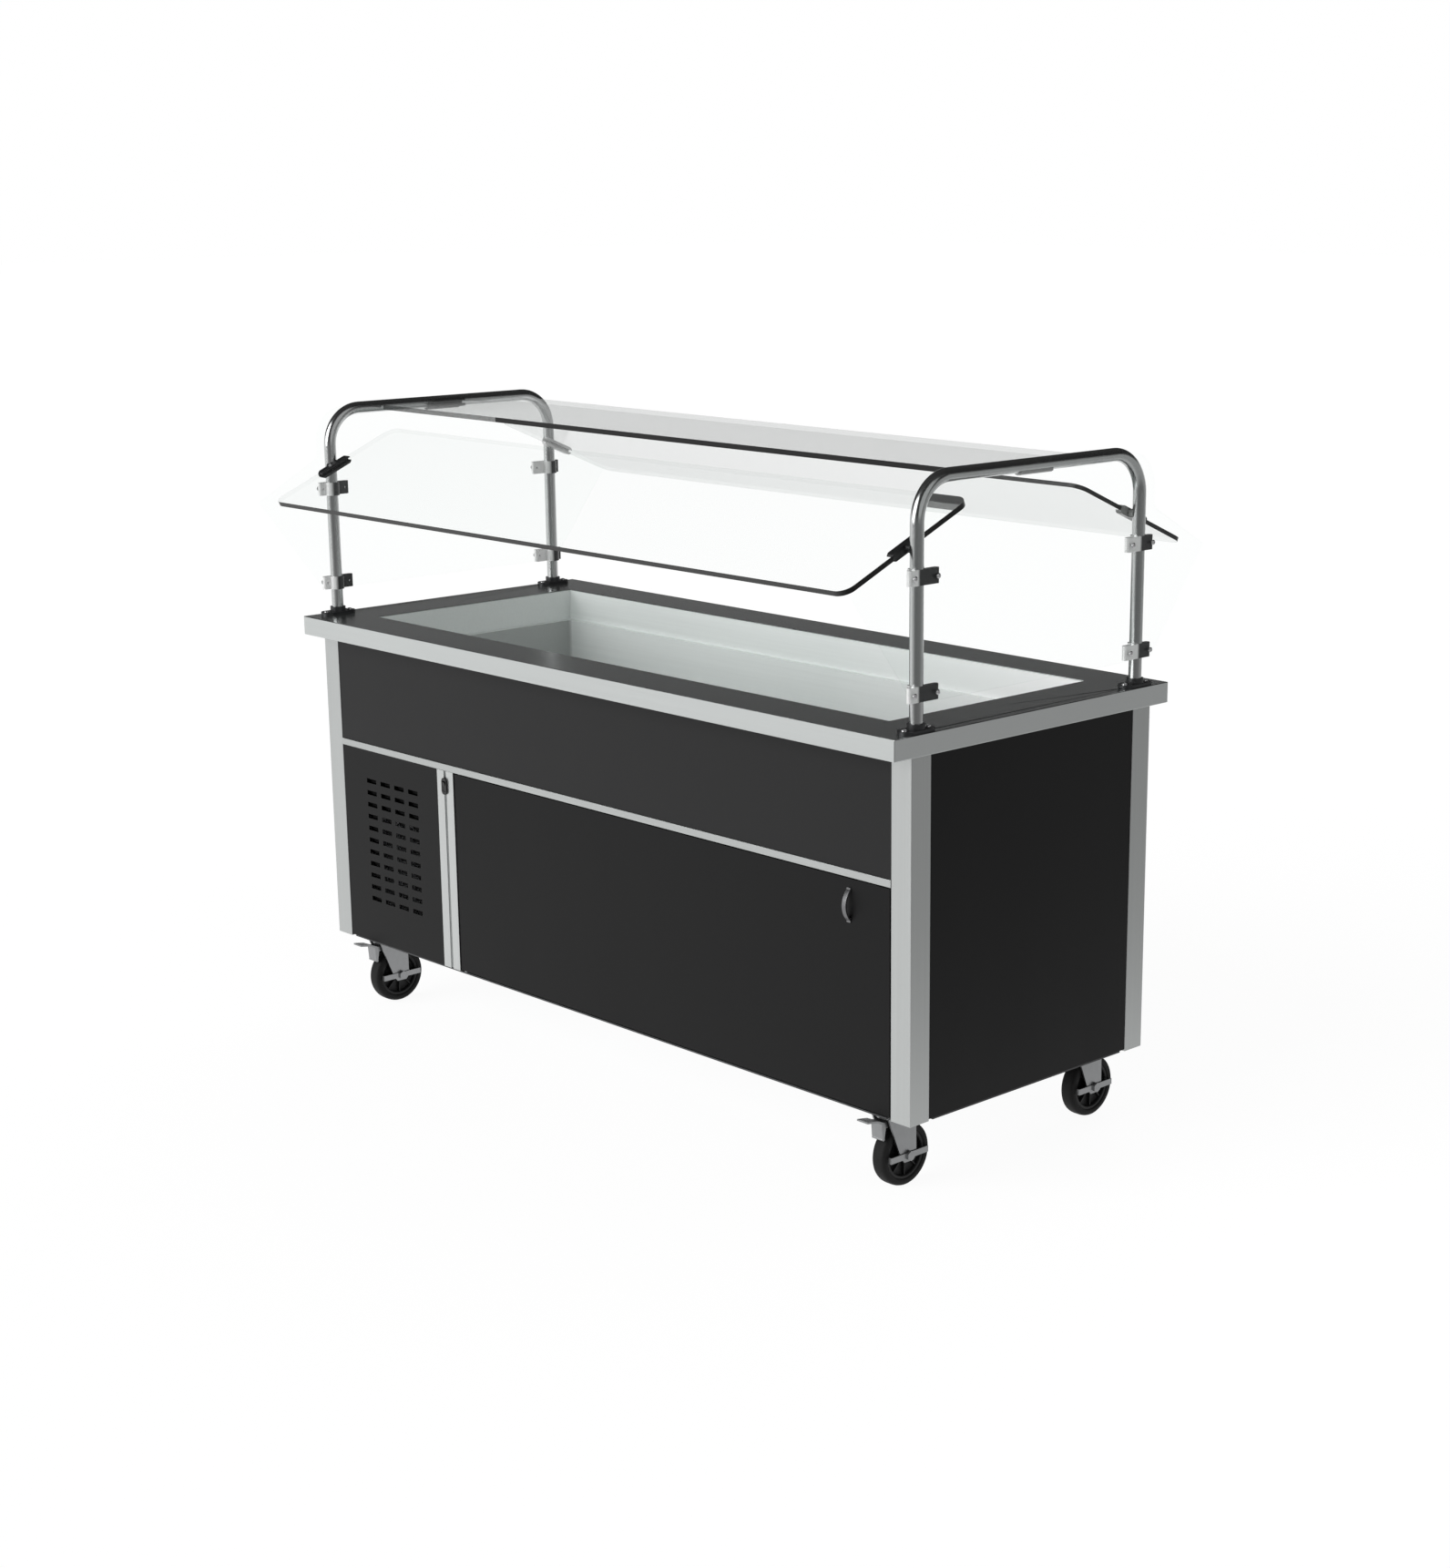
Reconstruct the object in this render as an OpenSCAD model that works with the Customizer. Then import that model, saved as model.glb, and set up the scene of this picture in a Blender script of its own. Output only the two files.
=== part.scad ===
// Mobile refrigerated salad bar, in millimetres.
// The origin is on the floor under the middle of the counter. +X runs along the length to the
// right, +Y runs from the front to the back, and +Z is up.
// Pairs that are mirror images share one module, which mirrors itself by a sign of -1 or +1.

/* [Counter] */
// Length of the counter top
top_l = 1824; // [1700:1:1900]
// Depth of the counter top, front to back
top_w = 757; // [740:1:800]
// Height of the counter top above the floor
top_z = 889; // [880:1:900]
// Height of the turned-down edge
edge_h = 40.5; // [30:0.5:45]
// Thickness of the counter sheet
top_t = 2; // [1.5:0.1:2.5]

/* [Cold well] */
// Half the length of the well's opening
well_x = 790; // [700:1:800]
// Front edge of the well's opening
well_front = -267; // [-280:1:-255]
// Back edge of the well's opening
well_back = 273; // [260:1:285]
// Depth from the counter to the pan ledge
ledge_depth = 69; // [50:1:80]
// Width of the pan ledge
ledge_w = 12; // [11.5:0.5:14]
// Depth from the counter to the floor of the well
well_depth = 224; // [190:1:225]
// Thickness of the tank's sheet
tank_t = 1.5; // [1:0.1:2]
// Corner radius of the well, below the ledge
well_r = 6; // [4:0.5:6]
// Corner radius of the mouth and of the cut-out in the counter
mouth_r = 3; // [2:0.5:3]

/* [Cabinet] */
// Half the length of the cabinet, to the outside of the posts
body_x = 907.4; // [900:0.1:908]
// Half the depth of the cabinet, to the outside of the posts
body_y = 330.1; // [325:0.1:335]
// Height of the underside above the floor
body_z0 = 157.6; // [157.6:0.1:160]
// Width of a post's face
post_w = 50; // [40:1:52]
// Thickness of the folded post sheet
post_t = 2; // [1.5:0.1:2.5]
// Thickness of the black panels
panel_t = 12; // [10:0.5:12]
// Underside of the trim strip
trim_z = 601.8; // [601:0.1:603]
// Height of the trim strip
trim_h = 14.5; // [12:0.5:14.5]

/* [Louvred panel] */
// Columns of louvres
louvre_cols = 4; // [1:1:4]
// Rows of louvres
louvre_rows = 11; // [1:1:12]
// Spacing between columns
louvre_pitch_x = 51.3; // [46:0.1:60]
// Spacing between rows
louvre_pitch_z = 27; // [24:0.5:28]
// Width of one louvre
louvre_w = 36; // [30:1:40]
// Height of one louvre's slot
louvre_h = 10; // [6:0.5:11]

/* [Door] */
// Thickness of the door
door_t = 19; // [18:0.5:20]
// Gap at each side of the door
door_gap = 4; // [4:0.5:6]
// Height of the bow pull
pull_h = 64; // [60:1:80]
// Distance that the pull stands out
pull_out = 15; // [10:1:20]

/* [Breath guard] */
// Distance from the middle to each arch
arch_x = 891; // [885:0.5:891]
// Distance from the middle to each post of an arch
arch_y = 302.3; // [295:0.1:310]
// Height of the top tube's centre line
arch_z = 1336.6; // [1300:0.1:1360]
// Outer radius of the arch tube
tube_r = 12.7; // [12.7:0.1:13]
// Radius of the arch bends at the centre line
bend_r = 78; // [60:1:90]
// Thickness of the clear panels
clear_t = 6; // [5:0.5:6]
// Half the length of the panels between the arches
clear_x = 872; // [860:1:873]
// Distance from the middle to a guard's upper edge
guard_y1 = 151; // [140:1:160]
// Height of a guard's upper edge
guard_z1 = 1282.5; // [1270:0.5:1290]
// Distance from the middle to a guard's lower edge
guard_y2 = 459.5; // [440:0.5:480]
// Height of a guard's lower edge
guard_z2 = 1149.5; // [1145:0.5:1160]
// Corner radius of the sloping guards
guard_r = 24; // [10:1:30]

/* [Casters] */
// Distance from the middle to a caster's kingpin, along the length
caster_x = 806; // [800:1:806]
// Distance from the middle to a caster's kingpin, front to back
caster_y = 268; // [262:1:268]
// Radius of a wheel
wheel_r = 62.5; // [60:0.5:63]
// Width of a wheel
wheel_w = 32; // [28:1:32]
// Distance that a wheel trails behind its kingpin
trail = 17; // [12:1:20]

/* [Hidden] */
$fn = 48;
small_fn = 24;
fit = 0.05;        // radial clearance of a running fit
gap = 0.3;         // clearance between neighbouring pieces
front = -1;
back = 1;
left = -1;
right = 1;

// Heights inside the cabinet
sheet_under = top_z - top_t;
rail_z0 = body_z0 + 3;
rail_z1 = rail_z0 + 30;
floor_z = rail_z1 + 0.4;
header_z0 = trim_z - 1.8;
header_z1 = header_z0 + 20;
trim_top = trim_z + trim_h;

// Panel planes, measured out from the middle
face_y = body_y - 1;
face_x = body_x - 1;
panel_in_y = face_y - panel_t;
panel_in_x = face_x - panel_t;
bay_x = body_x - post_w - 0.4;
bay_y = body_y - post_w - 0.4;

// Tank
tank_floor = top_z - well_depth;
ledge_z = top_z - ledge_depth;
rim_flange = 25;
foam_t = 40;
foam_floor = tank_floor - 15;
casing_z0 = header_z1 + gap;
casing_x = well_x + tank_t + foam_t + 2;
casing_front = well_front - tank_t - 37;
casing_back = well_back + tank_t + 37;
well_mid = (well_front + well_back) / 2;

// Mullion and machine bay
mull_x0 = -506.5;
mull_x1 = -450;
mull_mid = (mull_x0 + mull_x1) / 2;
groove_w = 8;
groove_d = 4;
return_d = 15.2;

// Louvres
louvre_x0 = -753.5;
louvre_z0 = 262.5;

// Switch
switch_z = 568;
switch_x = mull_mid;
bezel_w = 17;
bezel_h = 37;
rocker_tilt = 9;

// Door
door_x0 = mull_x1 + door_gap;
door_x1 = bay_x + 0.4 - door_gap;
door_z0 = rail_z0 + 3.4;
door_z1 = trim_z - 3;
pivot_x = door_x0 + 10;
pivot_y = -(face_y - 7.1);
pivot_r = 4;
pull_x = 749.5;
pull_z = 549;
pull_w = 10;

// Drain
drain_x = 620;
drain_r = 16.7;
drain_bore = 12.5;
valve_z = 532;

// Machine bay
fan_x = -700;
fan_z = 319;
fan_r = 92;
pot_x = -700;
pot_y = 130;
pot_r = 85;
line_r = 5;
suction_x = pot_x + pot_r + 45;
gland_x = -790;
gland_z = 230;
gland_r = 10;

// Evaporator tube
coil_r = 4.6;
coil_x = well_x - ledge_w + tank_t + coil_r + 1;
coil_front = well_front + ledge_w - tank_t - coil_r - 1;
coil_back = well_back - ledge_w + tank_t + coil_r + 1;
coil_bend = 14;
coil_z = [690, 725, 760, 795];
tail_z = (foam_floor + tank_floor - tank_t) / 2;

// Guards
guard_run = guard_y2 - guard_y1;
guard_drop = guard_z1 - guard_z2;
guard_angle = atan(guard_drop / guard_run);
guard_len = sqrt(guard_run * guard_run + guard_drop * guard_drop);
end_in = 904.5;
end_out = 909.5;
clamp_low_z = 958.5;
clamp_high_z = 1165;
clamp_h = 28;
clamp_out = 30;
clamp_in = 46;
clamp_screws = [22, -36];
foot_t = 6;
foot_screw = 30;

// Casters
plate_z = body_z0 - 4;
axle_r = 6;
bolt_dx = 39;
bolt_dy = 28;
pedal_y = -22;
pedal_z = 132;

// ---------------------------------------------------------------- helpers

// A box given by its limits on each axis.
module block(x0, x1, y0, y1, z0, z1) {
  translate([x0, y0, z0])
    cube([x1 - x0, y1 - y0, z1 - z0]);
}

// A box with its four upright edges rounded.
module soft_block(x0, x1, y0, y1, z0, z1, r) {
  translate([0, 0, z0])
    linear_extrude(z1 - z0) {
      translate([x0, y0 + r])
        square([x1 - x0, y1 - y0 - 2 * r]);
      translate([x0 + r, y0])
        square([x1 - x0 - 2 * r, y1 - y0]);
      for (x = [x0 + r, x1 - r])
        for (y = [y0 + r, y1 - r])
          translate([x, y])
            circle(r = r, $fn = small_fn);
    }
}

// A round bar along X, Y or Z between two limits.
module bar_x(r, x0, x1, y, z) {
  translate([x0, y, z])
    rotate([0, 90, 0])
      cylinder(r = r, h = x1 - x0);
}

module bar_y(r, y0, y1, x, z) {
  translate([x, y1, z])
    rotate([90, 0, 0])
      cylinder(r = r, h = y1 - y0);
}

module bar_z(r, z0, z1, x, y) {
  translate([x, y, z0])
    cylinder(r = r, h = z1 - z0);
}

// A profile drawn in Y and Z, extruded along X.
module profile_x(x0, x1) {
  translate([x0, 0, 0])
    rotate([90, 0, 90])
      linear_extrude(x1 - x0)
        children();
}

// A slot with round ends, lying along the first axis of the drawing.
module stadium(length, width) {
  straight = length - width;
  square([straight, width], center = true);
  for (side = [-1, 1])
    translate([side * straight / 2, 0])
      circle(d = width);
}

// Mirrors its children to the left (-1) or leaves them on the right (+1).
module on_side(side) {
  mirror([side < 0 ? 1 : 0, 0, 0])
    children();
}

// Mirrors its children to the front (-1) or leaves them at the back (+1).
module on_face(face) {
  mirror([0, face < 0 ? 1 : 0, 0])
    children();
}

// Repeats its children at all four corners, mirrored.
module four_corners() {
  for (side = [left, right])
    for (face = [front, back])
      on_side(side)
        on_face(face)
          children();
}

// Screw with a low round head. The head's seat is at the origin and the shank points down.
module screw(shank_r, length, head_r, head_h) {
  cylinder(r = head_r, h = head_h, $fn = small_fn);
  translate([0, 0, -length])
    cylinder(r = shank_r, h = length + head_h / 2, $fn = small_fn);
}

// ---------------------------------------------------------------- counter and well

// One folded sheet: flat top, turned-down edges, return lips on the long sides.
module countertop() {
  lip = 15;
  hx = top_l / 2;
  hy = top_w / 2;
  color("gainsboro")
    difference() {
      block(-hx, hx, -hy, hy, top_z - edge_h, top_z);
      block(-hx + top_t, hx - top_t, -hy + lip, hy - lip, 0, sheet_under);
      block(-hx + top_t, hx - top_t, -hy + top_t, hy - top_t, top_z - edge_h + top_t, sheet_under);
      soft_block(-well_x, well_x, well_front, well_back, 0, top_z + 1, mouth_r);
      foot_holes(3.1);
    }
}

// The screw holes of the arch feet, through the counter.
module foot_holes(r) {
  four_corners()
    for (side = [-1, 1])
      bar_z(r, sheet_under - 10, top_z + 10, arch_x, arch_y + side * foot_screw, $fn = small_fn);
}

// The space inside the tank: a wide mouth down to the ledge, then a narrower well.
module tank_space(extra) {
  soft_block(-well_x - extra, well_x + extra, well_front - extra, well_back + extra,
             ledge_z - extra, top_z + 1, mouth_r + extra);
  soft_block(-well_x + ledge_w - extra, well_x - ledge_w + extra,
             well_front + ledge_w - extra, well_back - ledge_w + extra,
             tank_floor - extra, ledge_z + 1, well_r + extra);
}

// Drawn tank with a rim flange that hangs under the counter sheet.
module well_tank() {
  flange_z = sheet_under - tank_t;
  color("silver")
    difference() {
      union() {
        intersection() {
          tank_space(tank_t);
          block(-1000, 1000, -500, 500, 0, sheet_under);
        }
        block(-well_x - rim_flange, well_x + rim_flange,
              well_front - rim_flange, well_back + rim_flange, flange_z, sheet_under);
      }
      tank_space(0);
      bar_z(14, 0, top_z, drain_x, well_mid);
    }
}

// Foam box round the tank.
module well_insulation() {
  inner = tank_t + gap;
  color("khaki")
    difference() {
      block(-casing_x + 1.3, casing_x - 1.3, casing_front + 1.3, casing_back - 1.3,
            casing_z0 + 1.3, sheet_under - tank_t - 1);
      block(-well_x - inner, well_x + inner, well_front - inner, well_back + inner,
            foam_floor, top_z);
      bar_z(drain_r + 1, 0, top_z, drain_x, well_mid);
      bar_z(line_r + 1, 0, top_z, suction_x, pot_y);
    }
}

// Outer casing of the well.
module well_casing() {
  color("darkgray")
    difference() {
      block(-casing_x, casing_x, casing_front, casing_back, casing_z0, sheet_under - tank_t - 0.5);
      block(-casing_x + 1, casing_x - 1, casing_front + 1, casing_back - 1, casing_z0 + 1, top_z);
      bar_z(drain_r + 1, 0, top_z, drain_x, well_mid);
      bar_z(line_r + 1, 0, top_z, suction_x, pot_y);
    }
}

// One turn of tube round the tank, with rounded corners.
module coil_turn(z) {
  for (y = [coil_front, coil_back])
    bar_x(coil_r, -coil_x + coil_bend, coil_x - coil_bend, y, z, $fn = small_fn);
  for (x = [-coil_x, coil_x])
    bar_y(coil_r, coil_front + coil_bend, coil_back - coil_bend, x, z, $fn = small_fn);
  for (corner = [[coil_x, coil_back, 0], [-coil_x, coil_back, 90],
                 [-coil_x, coil_front, 180], [coil_x, coil_front, 270]])
    translate([corner[0] - sign(corner[0]) * coil_bend, corner[1] - sign(corner[1]) * coil_bend, z])
      rotate([0, 0, corner[2]])
        rotate_extrude(angle = 90)
          translate([coil_bend, 0])
            circle(r = coil_r, $fn = small_fn);
}

// Evaporator tube: turns round the lower tank, a header that joins them, and a tail under the
// tank to the suction line.
module evaporator_coil() {
  color("peru") {
    for (z = coil_z)
      coil_turn(z);
    bar_z(coil_r - 0.6, tail_z, coil_z[3] + 1, -coil_x, pot_y, $fn = small_fn);
    translate([-coil_x, pot_y, tail_z])
      sphere(r = coil_r + 0.6, $fn = small_fn);
    bar_x(coil_r, -coil_x, suction_x, pot_y, tail_z, $fn = small_fn);
    bar_z(coil_r, foam_floor - 12, tail_z, suction_x, pot_y, $fn = small_fn);
    translate([suction_x, pot_y, tail_z])
      sphere(r = coil_r + 0.6, $fn = small_fn);
  }
}

// Round strainer with a ring of holes and one in the middle.
module drain_strainer() {
  holes = 8;
  color("silver")
    difference() {
      union() {
        bar_z(30, tank_floor, tank_floor + 2, drain_x, well_mid);
        bar_z(13.8, tank_floor - tank_t - 4, tank_floor + 1, drain_x, well_mid);
      }
      bar_z(11.5, 0, tank_floor, drain_x, well_mid);
      bar_z(3, 0, top_z, drain_x, well_mid, $fn = small_fn);
      for (i = [0 : holes - 1])
        translate([drain_x, well_mid, 0])
          rotate([0, 0, i * 360 / holes])
            bar_z(2.2, 0, top_z, 7.5, 0, $fn = small_fn);
    }
}

// Tailpiece through the insulation, with the locknut under the tank.
module drain_pipe() {
  color("silver")
    difference() {
      union() {
        bar_z(drain_r, valve_z + 28, tank_floor - tank_t - 0.3, drain_x, well_mid);
        bar_z(26, tank_floor - tank_t - 6, tank_floor - tank_t - 0.3, drain_x, well_mid);
      }
      bar_z(14, 0, top_z, drain_x, well_mid);
    }
}

// Ball valve with six-sided ends, a bonnet for the stem and a plain tail for a hose.
module drain_valve() {
  bonnet_y = well_mid - 34;
  color("goldenrod")
    difference() {
      union() {
        bar_z(22, valve_z + 12, valve_z + 28, drain_x, well_mid, $fn = 6);
        bar_z(20, valve_z - 14, valve_z + 14, drain_x, well_mid);
        bar_z(22, valve_z - 28, valve_z - 12, drain_x, well_mid, $fn = 6);
        bar_z(drain_r, valve_z - 78, valve_z - 27, drain_x, well_mid);
        bar_y(9, bonnet_y, well_mid, drain_x, valve_z);
      }
      bar_z(drain_bore, 0, top_z, drain_x, well_mid);
      bar_y(4 + fit, bonnet_y - 1, well_mid, drain_x, valve_z);
    }
}

// Stem and lever. The lever lies level, which is shut, and turns down to open.
module valve_lever() {
  hub_y = well_mid - 34 - gap;
  color("firebrick") {
    bar_y(4, hub_y - 5, well_mid - 14, drain_x, valve_z);
    bar_y(11, hub_y - 5, hub_y, drain_x, valve_z);
    bar_y(9, hub_y - 5, hub_y, drain_x + 95, valve_z);
    block(drain_x, drain_x + 95, hub_y - 5, hub_y, valve_z - 9, valve_z + 9);
  }
}

// ---------------------------------------------------------------- cabinet

// A rectangular ring between two half-sizes.
module ring(xo, yo, xi, yi, z0, z1) {
  difference() {
    block(-xo, xo, -yo, yo, z0, z1);
    block(-xi, xi, -yi, yi, z0 - 1, z1 + 1);
  }
}

// Welded base: a bottom plate with corner pads, channel rails and two cross members.
module base_frame() {
  rail_x = body_x - 51.4;
  rail_y = body_y - 26;
  web = 3;
  color("dimgray")
    difference() {
      union() {
        ring(body_x - 2.3, body_y - 2.3, 740, 215, body_z0, rail_z0);
        difference() {
          ring(rail_x, rail_y, rail_x - 38, rail_y - 38, rail_z0 - 0.5, rail_z1);
          ring(rail_x - web, rail_y - web, rail_x - 39, rail_y - 39, rail_z0 + web, rail_z1 - web);
        }
        for (x = [-500, 190])
          difference() {
            block(x, x + 40, -rail_y + 37, rail_y - 37, rail_z0 - 1, rail_z1);
            block(x + web, x + 40 - web, -rail_y + 30, rail_y - 30, body_z0 - 1, rail_z1 - web);
          }
      }
      four_corners() {
        caster_bolt_holes(4.2);
        block(bay_x + 0.1, body_x, bay_y - 12, body_y, body_z0 - 1, rail_z0 + 1);
        block(bay_x - 12, body_x, body_y - return_d - gap, body_y, body_z0 - 1, rail_z0 + 1);
      }
      bar_z(2, body_z0 - 1, rail_z0 + 1, pivot_x, pivot_y, $fn = small_fn);
    }
}

// The four bolt holes of one caster, at the back right corner.
module caster_bolt_holes(r) {
  for (dx = [-1, 1])
    for (dy = [-1, 1])
      bar_z(r, plate_z - 1, rail_z0 + 8, caster_x + dx * bolt_dx, caster_y + dy * bolt_dy,
            $fn = small_fn);
}

// Two square tubes that carry the well, the trim and the door's upper pivot.
module header_rails() {
  wall = 1.5;
  color("gray")
    for (face = [front, back])
      on_face(face)
        difference() {
          block(-890, 890, 292, 312, header_z0, header_z1);
          block(-891, 891, 292 + wall, 312 - wall, header_z0 + wall, header_z1 - wall);
        }
}

// Cabinet floor with a low upturned edge.
module cabinet_floor() {
  color("silver")
    difference() {
      block(mull_x0 + 9.5, bay_x - 2, -305, 310, floor_z, floor_z + 14);
      block(mull_x0 + 11, bay_x - 3.5, -303.5, 308.5, floor_z + 1.5, floor_z + 20);
    }
}

// Partition between the machine bay and the storage side.
module bulkhead() {
  x = mull_x0 + 6;
  flange = 14;
  color("darkgray") {
    block(x, x + 1.5, -308, 310, floor_z, header_z0 - 2);
    block(x - flange, x + 1, -308, -306.5, floor_z, header_z0 - 2);
    block(x - flange, x + 1, 308.5, 310, floor_z, header_z0 - 2);
  }
}

// Section of one post at the back right corner, drawn from the corner inwards. The returns make
// a rebate for the panels, and lips carry a panel where there is one behind them.
module post_section(lip_on_face) {
  lip = 14;
  square([post_w, post_t]);
  square([post_t, post_w]);
  translate([post_w - post_t, 0])
    square([post_t, return_d]);
  translate([0, post_w - post_t])
    square([return_d, post_t]);
  translate([return_d - post_t, post_w - post_t])
    square([post_t, lip]);
  if (lip_on_face)
    translate([post_w - post_t, return_d - post_t])
      square([lip, post_t]);
}

// Four folded posts, from the underside to the counter sheet.
module corner_posts() {
  color("gainsboro")
    for (side = [left, right])
      for (face = [front, back])
        on_side(side)
          on_face(face)
            translate([body_x, body_y, body_z0])
              mirror([1, 0, 0])
                mirror([0, 1, 0])
                  linear_extrude(sheet_under - 0.3 - body_z0)
                    post_section(face == back);
}

// Plain panel above the trim.
module apron_front() {
  color([0.12, 0.12, 0.12])
    block(-bay_x, bay_x, -face_y, -panel_in_y, trim_top + gap, sheet_under - 0.5);
}

// Back panel, with an air outlet behind the machine bay and the hole for the cord gland.
module rear_panel() {
  vents = 9;
  color([0.12, 0.12, 0.12])
    difference() {
      block(-bay_x, bay_x, panel_in_y, face_y, rail_z0 + 0.4, sheet_under - 0.5);
      for (i = [0 : vents - 1])
        translate([fan_x, face_y, 310 + i * louvre_pitch_z])
          rotate([90, 0, 0])
            translate([0, 0, -1])
              linear_extrude(panel_t + 2)
                stadium(220, 9);
      bar_y(gland_r + 0.2, 0, 400, gland_x, gland_z);
    }
}

// Plain black panel on one end.
module end_panel(side) {
  color([0.12, 0.12, 0.12])
    on_side(side)
      block(panel_in_x, face_x, -bay_y, bay_y, rail_z0 + 0.4, sheet_under - 0.5);
}

// C-shaped strip with a hole in its lower flange for the door's upper pivot.
module trim_strip() {
  wall = 1.5;
  color("whitesmoke")
    difference() {
      block(-bay_x, bay_x, -body_y - 1, -body_y + 15, trim_z, trim_top);
      block(-bay_x - 1, bay_x + 1, -body_y - 1 + wall, -body_y + 16, trim_z + wall, trim_top - wall);
      bar_z(pivot_r + 1, 0, trim_top - 3, pivot_x, pivot_y);
    }
}

// Folded upright with a groove down its middle and returns at both sides.
module mullion() {
  wall = 2;
  y0 = -body_y - 0.5;
  half = groove_w / 2;
  color("whitesmoke")
    difference() {
      union() {
        block(mull_x0, mull_x1, y0, y0 + wall, rail_z0 + 0.4, trim_z - 0.3);
        block(mull_x0, mull_x0 + wall, y0, y0 + return_d, rail_z0 + 0.4, trim_z - 0.3);
        block(mull_x1 - wall, mull_x1, y0, y0 + return_d, rail_z0 + 0.4, trim_z - 0.3);
        block(mull_mid - half - wall, mull_mid + half + wall, y0, y0 + groove_d + wall,
              rail_z0 + 0.4, trim_z - 0.3);
      }
      block(mull_mid - half, mull_mid + half, y0 - 1, y0 + groove_d, 0, trim_z);
      block(switch_x - 6.9, switch_x + 6.9, y0 - 1, y0 + 20, switch_z - 13.4, switch_z + 13.4);
    }
}

// One pressed louvre: a slot with a curved scoop behind it. The slot's middle is at the origin.
module scoop() {
  r = louvre_h + 1;
  translate([-louvre_w / 2, 0, -louvre_h / 2])
    profile_x(0, louvre_w)
      difference() {
        intersection() {
          circle(r = r);
          square([r, r]);
        }
        circle(r = r - 1.2);
      }
}

module louvre_positions() {
  for (col = [0 : louvre_cols - 1])
    for (row = [0 : louvre_rows - 1])
      translate([louvre_x0 + col * louvre_pitch_x, 0, louvre_z0 + row * louvre_pitch_z])
        children();
}

// Folded sheet with a grid of inward louvres, closed on top and open below and ahead.
module louvre_panel() {
  sheet = 1.6;
  x0 = -bay_x;
  x1 = mull_x0 - 0.4;
  z0 = rail_z0 + 0.4;
  z1 = trim_z - 0.3;
  color([0.15, 0.15, 0.15]) {
    difference() {
      block(x0, x1, -face_y, -face_y + 13, z0, z1);
      block(x0 + sheet, x1 - sheet, -face_y + sheet, -face_y + 14, z0 + sheet, z1 - sheet);
      louvre_positions()
        block(-louvre_w / 2 + 0.6, louvre_w / 2 - 0.6, -face_y - 1, -face_y + 3,
              -louvre_h / 2, louvre_h / 2);
    }
    louvre_positions()
      translate([0, -face_y + sheet / 2, 0])
        scoop();
  }
}

// Oval bezel and body of the power switch, with a pocket for the rocker.
module switch_housing() {
  y_face = -body_y - 0.5;
  color([0.08, 0.08, 0.08])
    difference() {
      union() {
        translate([switch_x, y_face - gap / 2, switch_z])
          rotate([90, 90, 0])
            linear_extrude(3.4)
              stadium(bezel_h, bezel_w);
        block(switch_x - 6.6, switch_x + 6.6, y_face - 1, y_face + 26, switch_z - 13.1, switch_z + 13.1);
      }
      block(switch_x - 4.8, switch_x + 4.8, y_face - 5, y_face + 13, switch_z - 11.5, switch_z + 11.5);
      bar_x(1.2 + fit, switch_x - 6.1, switch_x + 6.1, y_face, switch_z, $fn = small_fn);
    }
}

// Rocker with a shallow valley across its face, tilted to one side.
module switch_rocker() {
  y_face = -body_y - 0.5;
  half = 10.2;
  color([0.2, 0.2, 0.2])
    translate([switch_x, y_face, switch_z])
      rotate([rocker_tilt, 0, 0]) {
        profile_x(-4.5, 4.5)
          polygon([[7, -5], [7, 5], [-1.2, half], [-4.6, half], [-3.2, 0], [-4.6, -half], [-1.2, -half]]);
        bar_x(1.2, -5.9, 5.9, 0, 0, $fn = small_fn);
      }
}

// ---------------------------------------------------------------- door

// Board with a blind socket for a pivot pin at the top and the bottom of its left edge.
module door_panel() {
  socket = 26;
  color([0.12, 0.12, 0.12])
    difference() {
      block(door_x0, door_x1, -face_y, -face_y + door_t, door_z0, door_z1);
      bar_z(pivot_r + 0.06, door_z0 - 1, door_z0 + socket, pivot_x, pivot_y);
      bar_z(pivot_r + 0.06, door_z1 - socket, door_z1 + 1, pivot_x, pivot_y);
    }
}

// Lower pin with a thrust washer on the base plate, and an upper pin on a tab of the header.
module door_pivots() {
  color("gray") {
    bar_z(pivot_r, rail_z0 + 1, door_z0 + 22, pivot_x, pivot_y);
    bar_z(5.5, rail_z0, door_z0 - 0.4, pivot_x, pivot_y);
    bar_z(1.9, body_z0 + 0.4, rail_z0 + 2, pivot_x, pivot_y, $fn = small_fn);
    bar_z(pivot_r, door_z1 - 22, header_z0 + 5, pivot_x, pivot_y);
    block(pivot_x - 10, pivot_x + 14, -body_y + 1, -312, header_z0 + 4.2, header_z0 + 8);
  }
}

// Magnetic catch that hangs from the header.
module door_catch() {
  face = -face_y + door_t + 1.5 + gap;
  color("dimgray") {
    block(812, 848, face, face + 16, 545, 573);
    block(818, 842, -297, -293, 570, header_z0);
  }
}

// Strike plate on the back of the door.
module catch_plate() {
  color("silver")
    block(815, 845, -face_y + door_t, -face_y + door_t + 1.5, 541, 577);
}

// Bow pull: a flat bar bent to an arc, with a pad at each foot.
module door_handle() {
  half = pull_h / 2;
  r = (half * half + pull_out * pull_out) / (2 * pull_out);
  thick = 4;
  color("gray")
    translate([pull_x, -face_y, pull_z]) {
      profile_x(-pull_w / 2, pull_w / 2)
        intersection() {
          difference() {
            translate([r - pull_out, 0])
              circle(r = r);
            translate([r - pull_out, 0])
              circle(r = r - thick);
          }
          translate([-pull_out - 1, -half - 1])
            square([pull_out + 1, pull_h + 2]);
        }
      for (side = [-1, 1])
        block(-pull_w / 2, pull_w / 2, -2.5, 0,
              side < 0 ? -half - 1 : half - 8, side < 0 ? -half + 8 : half + 1);
    }
}

// ---------------------------------------------------------------- machine bay

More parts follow.
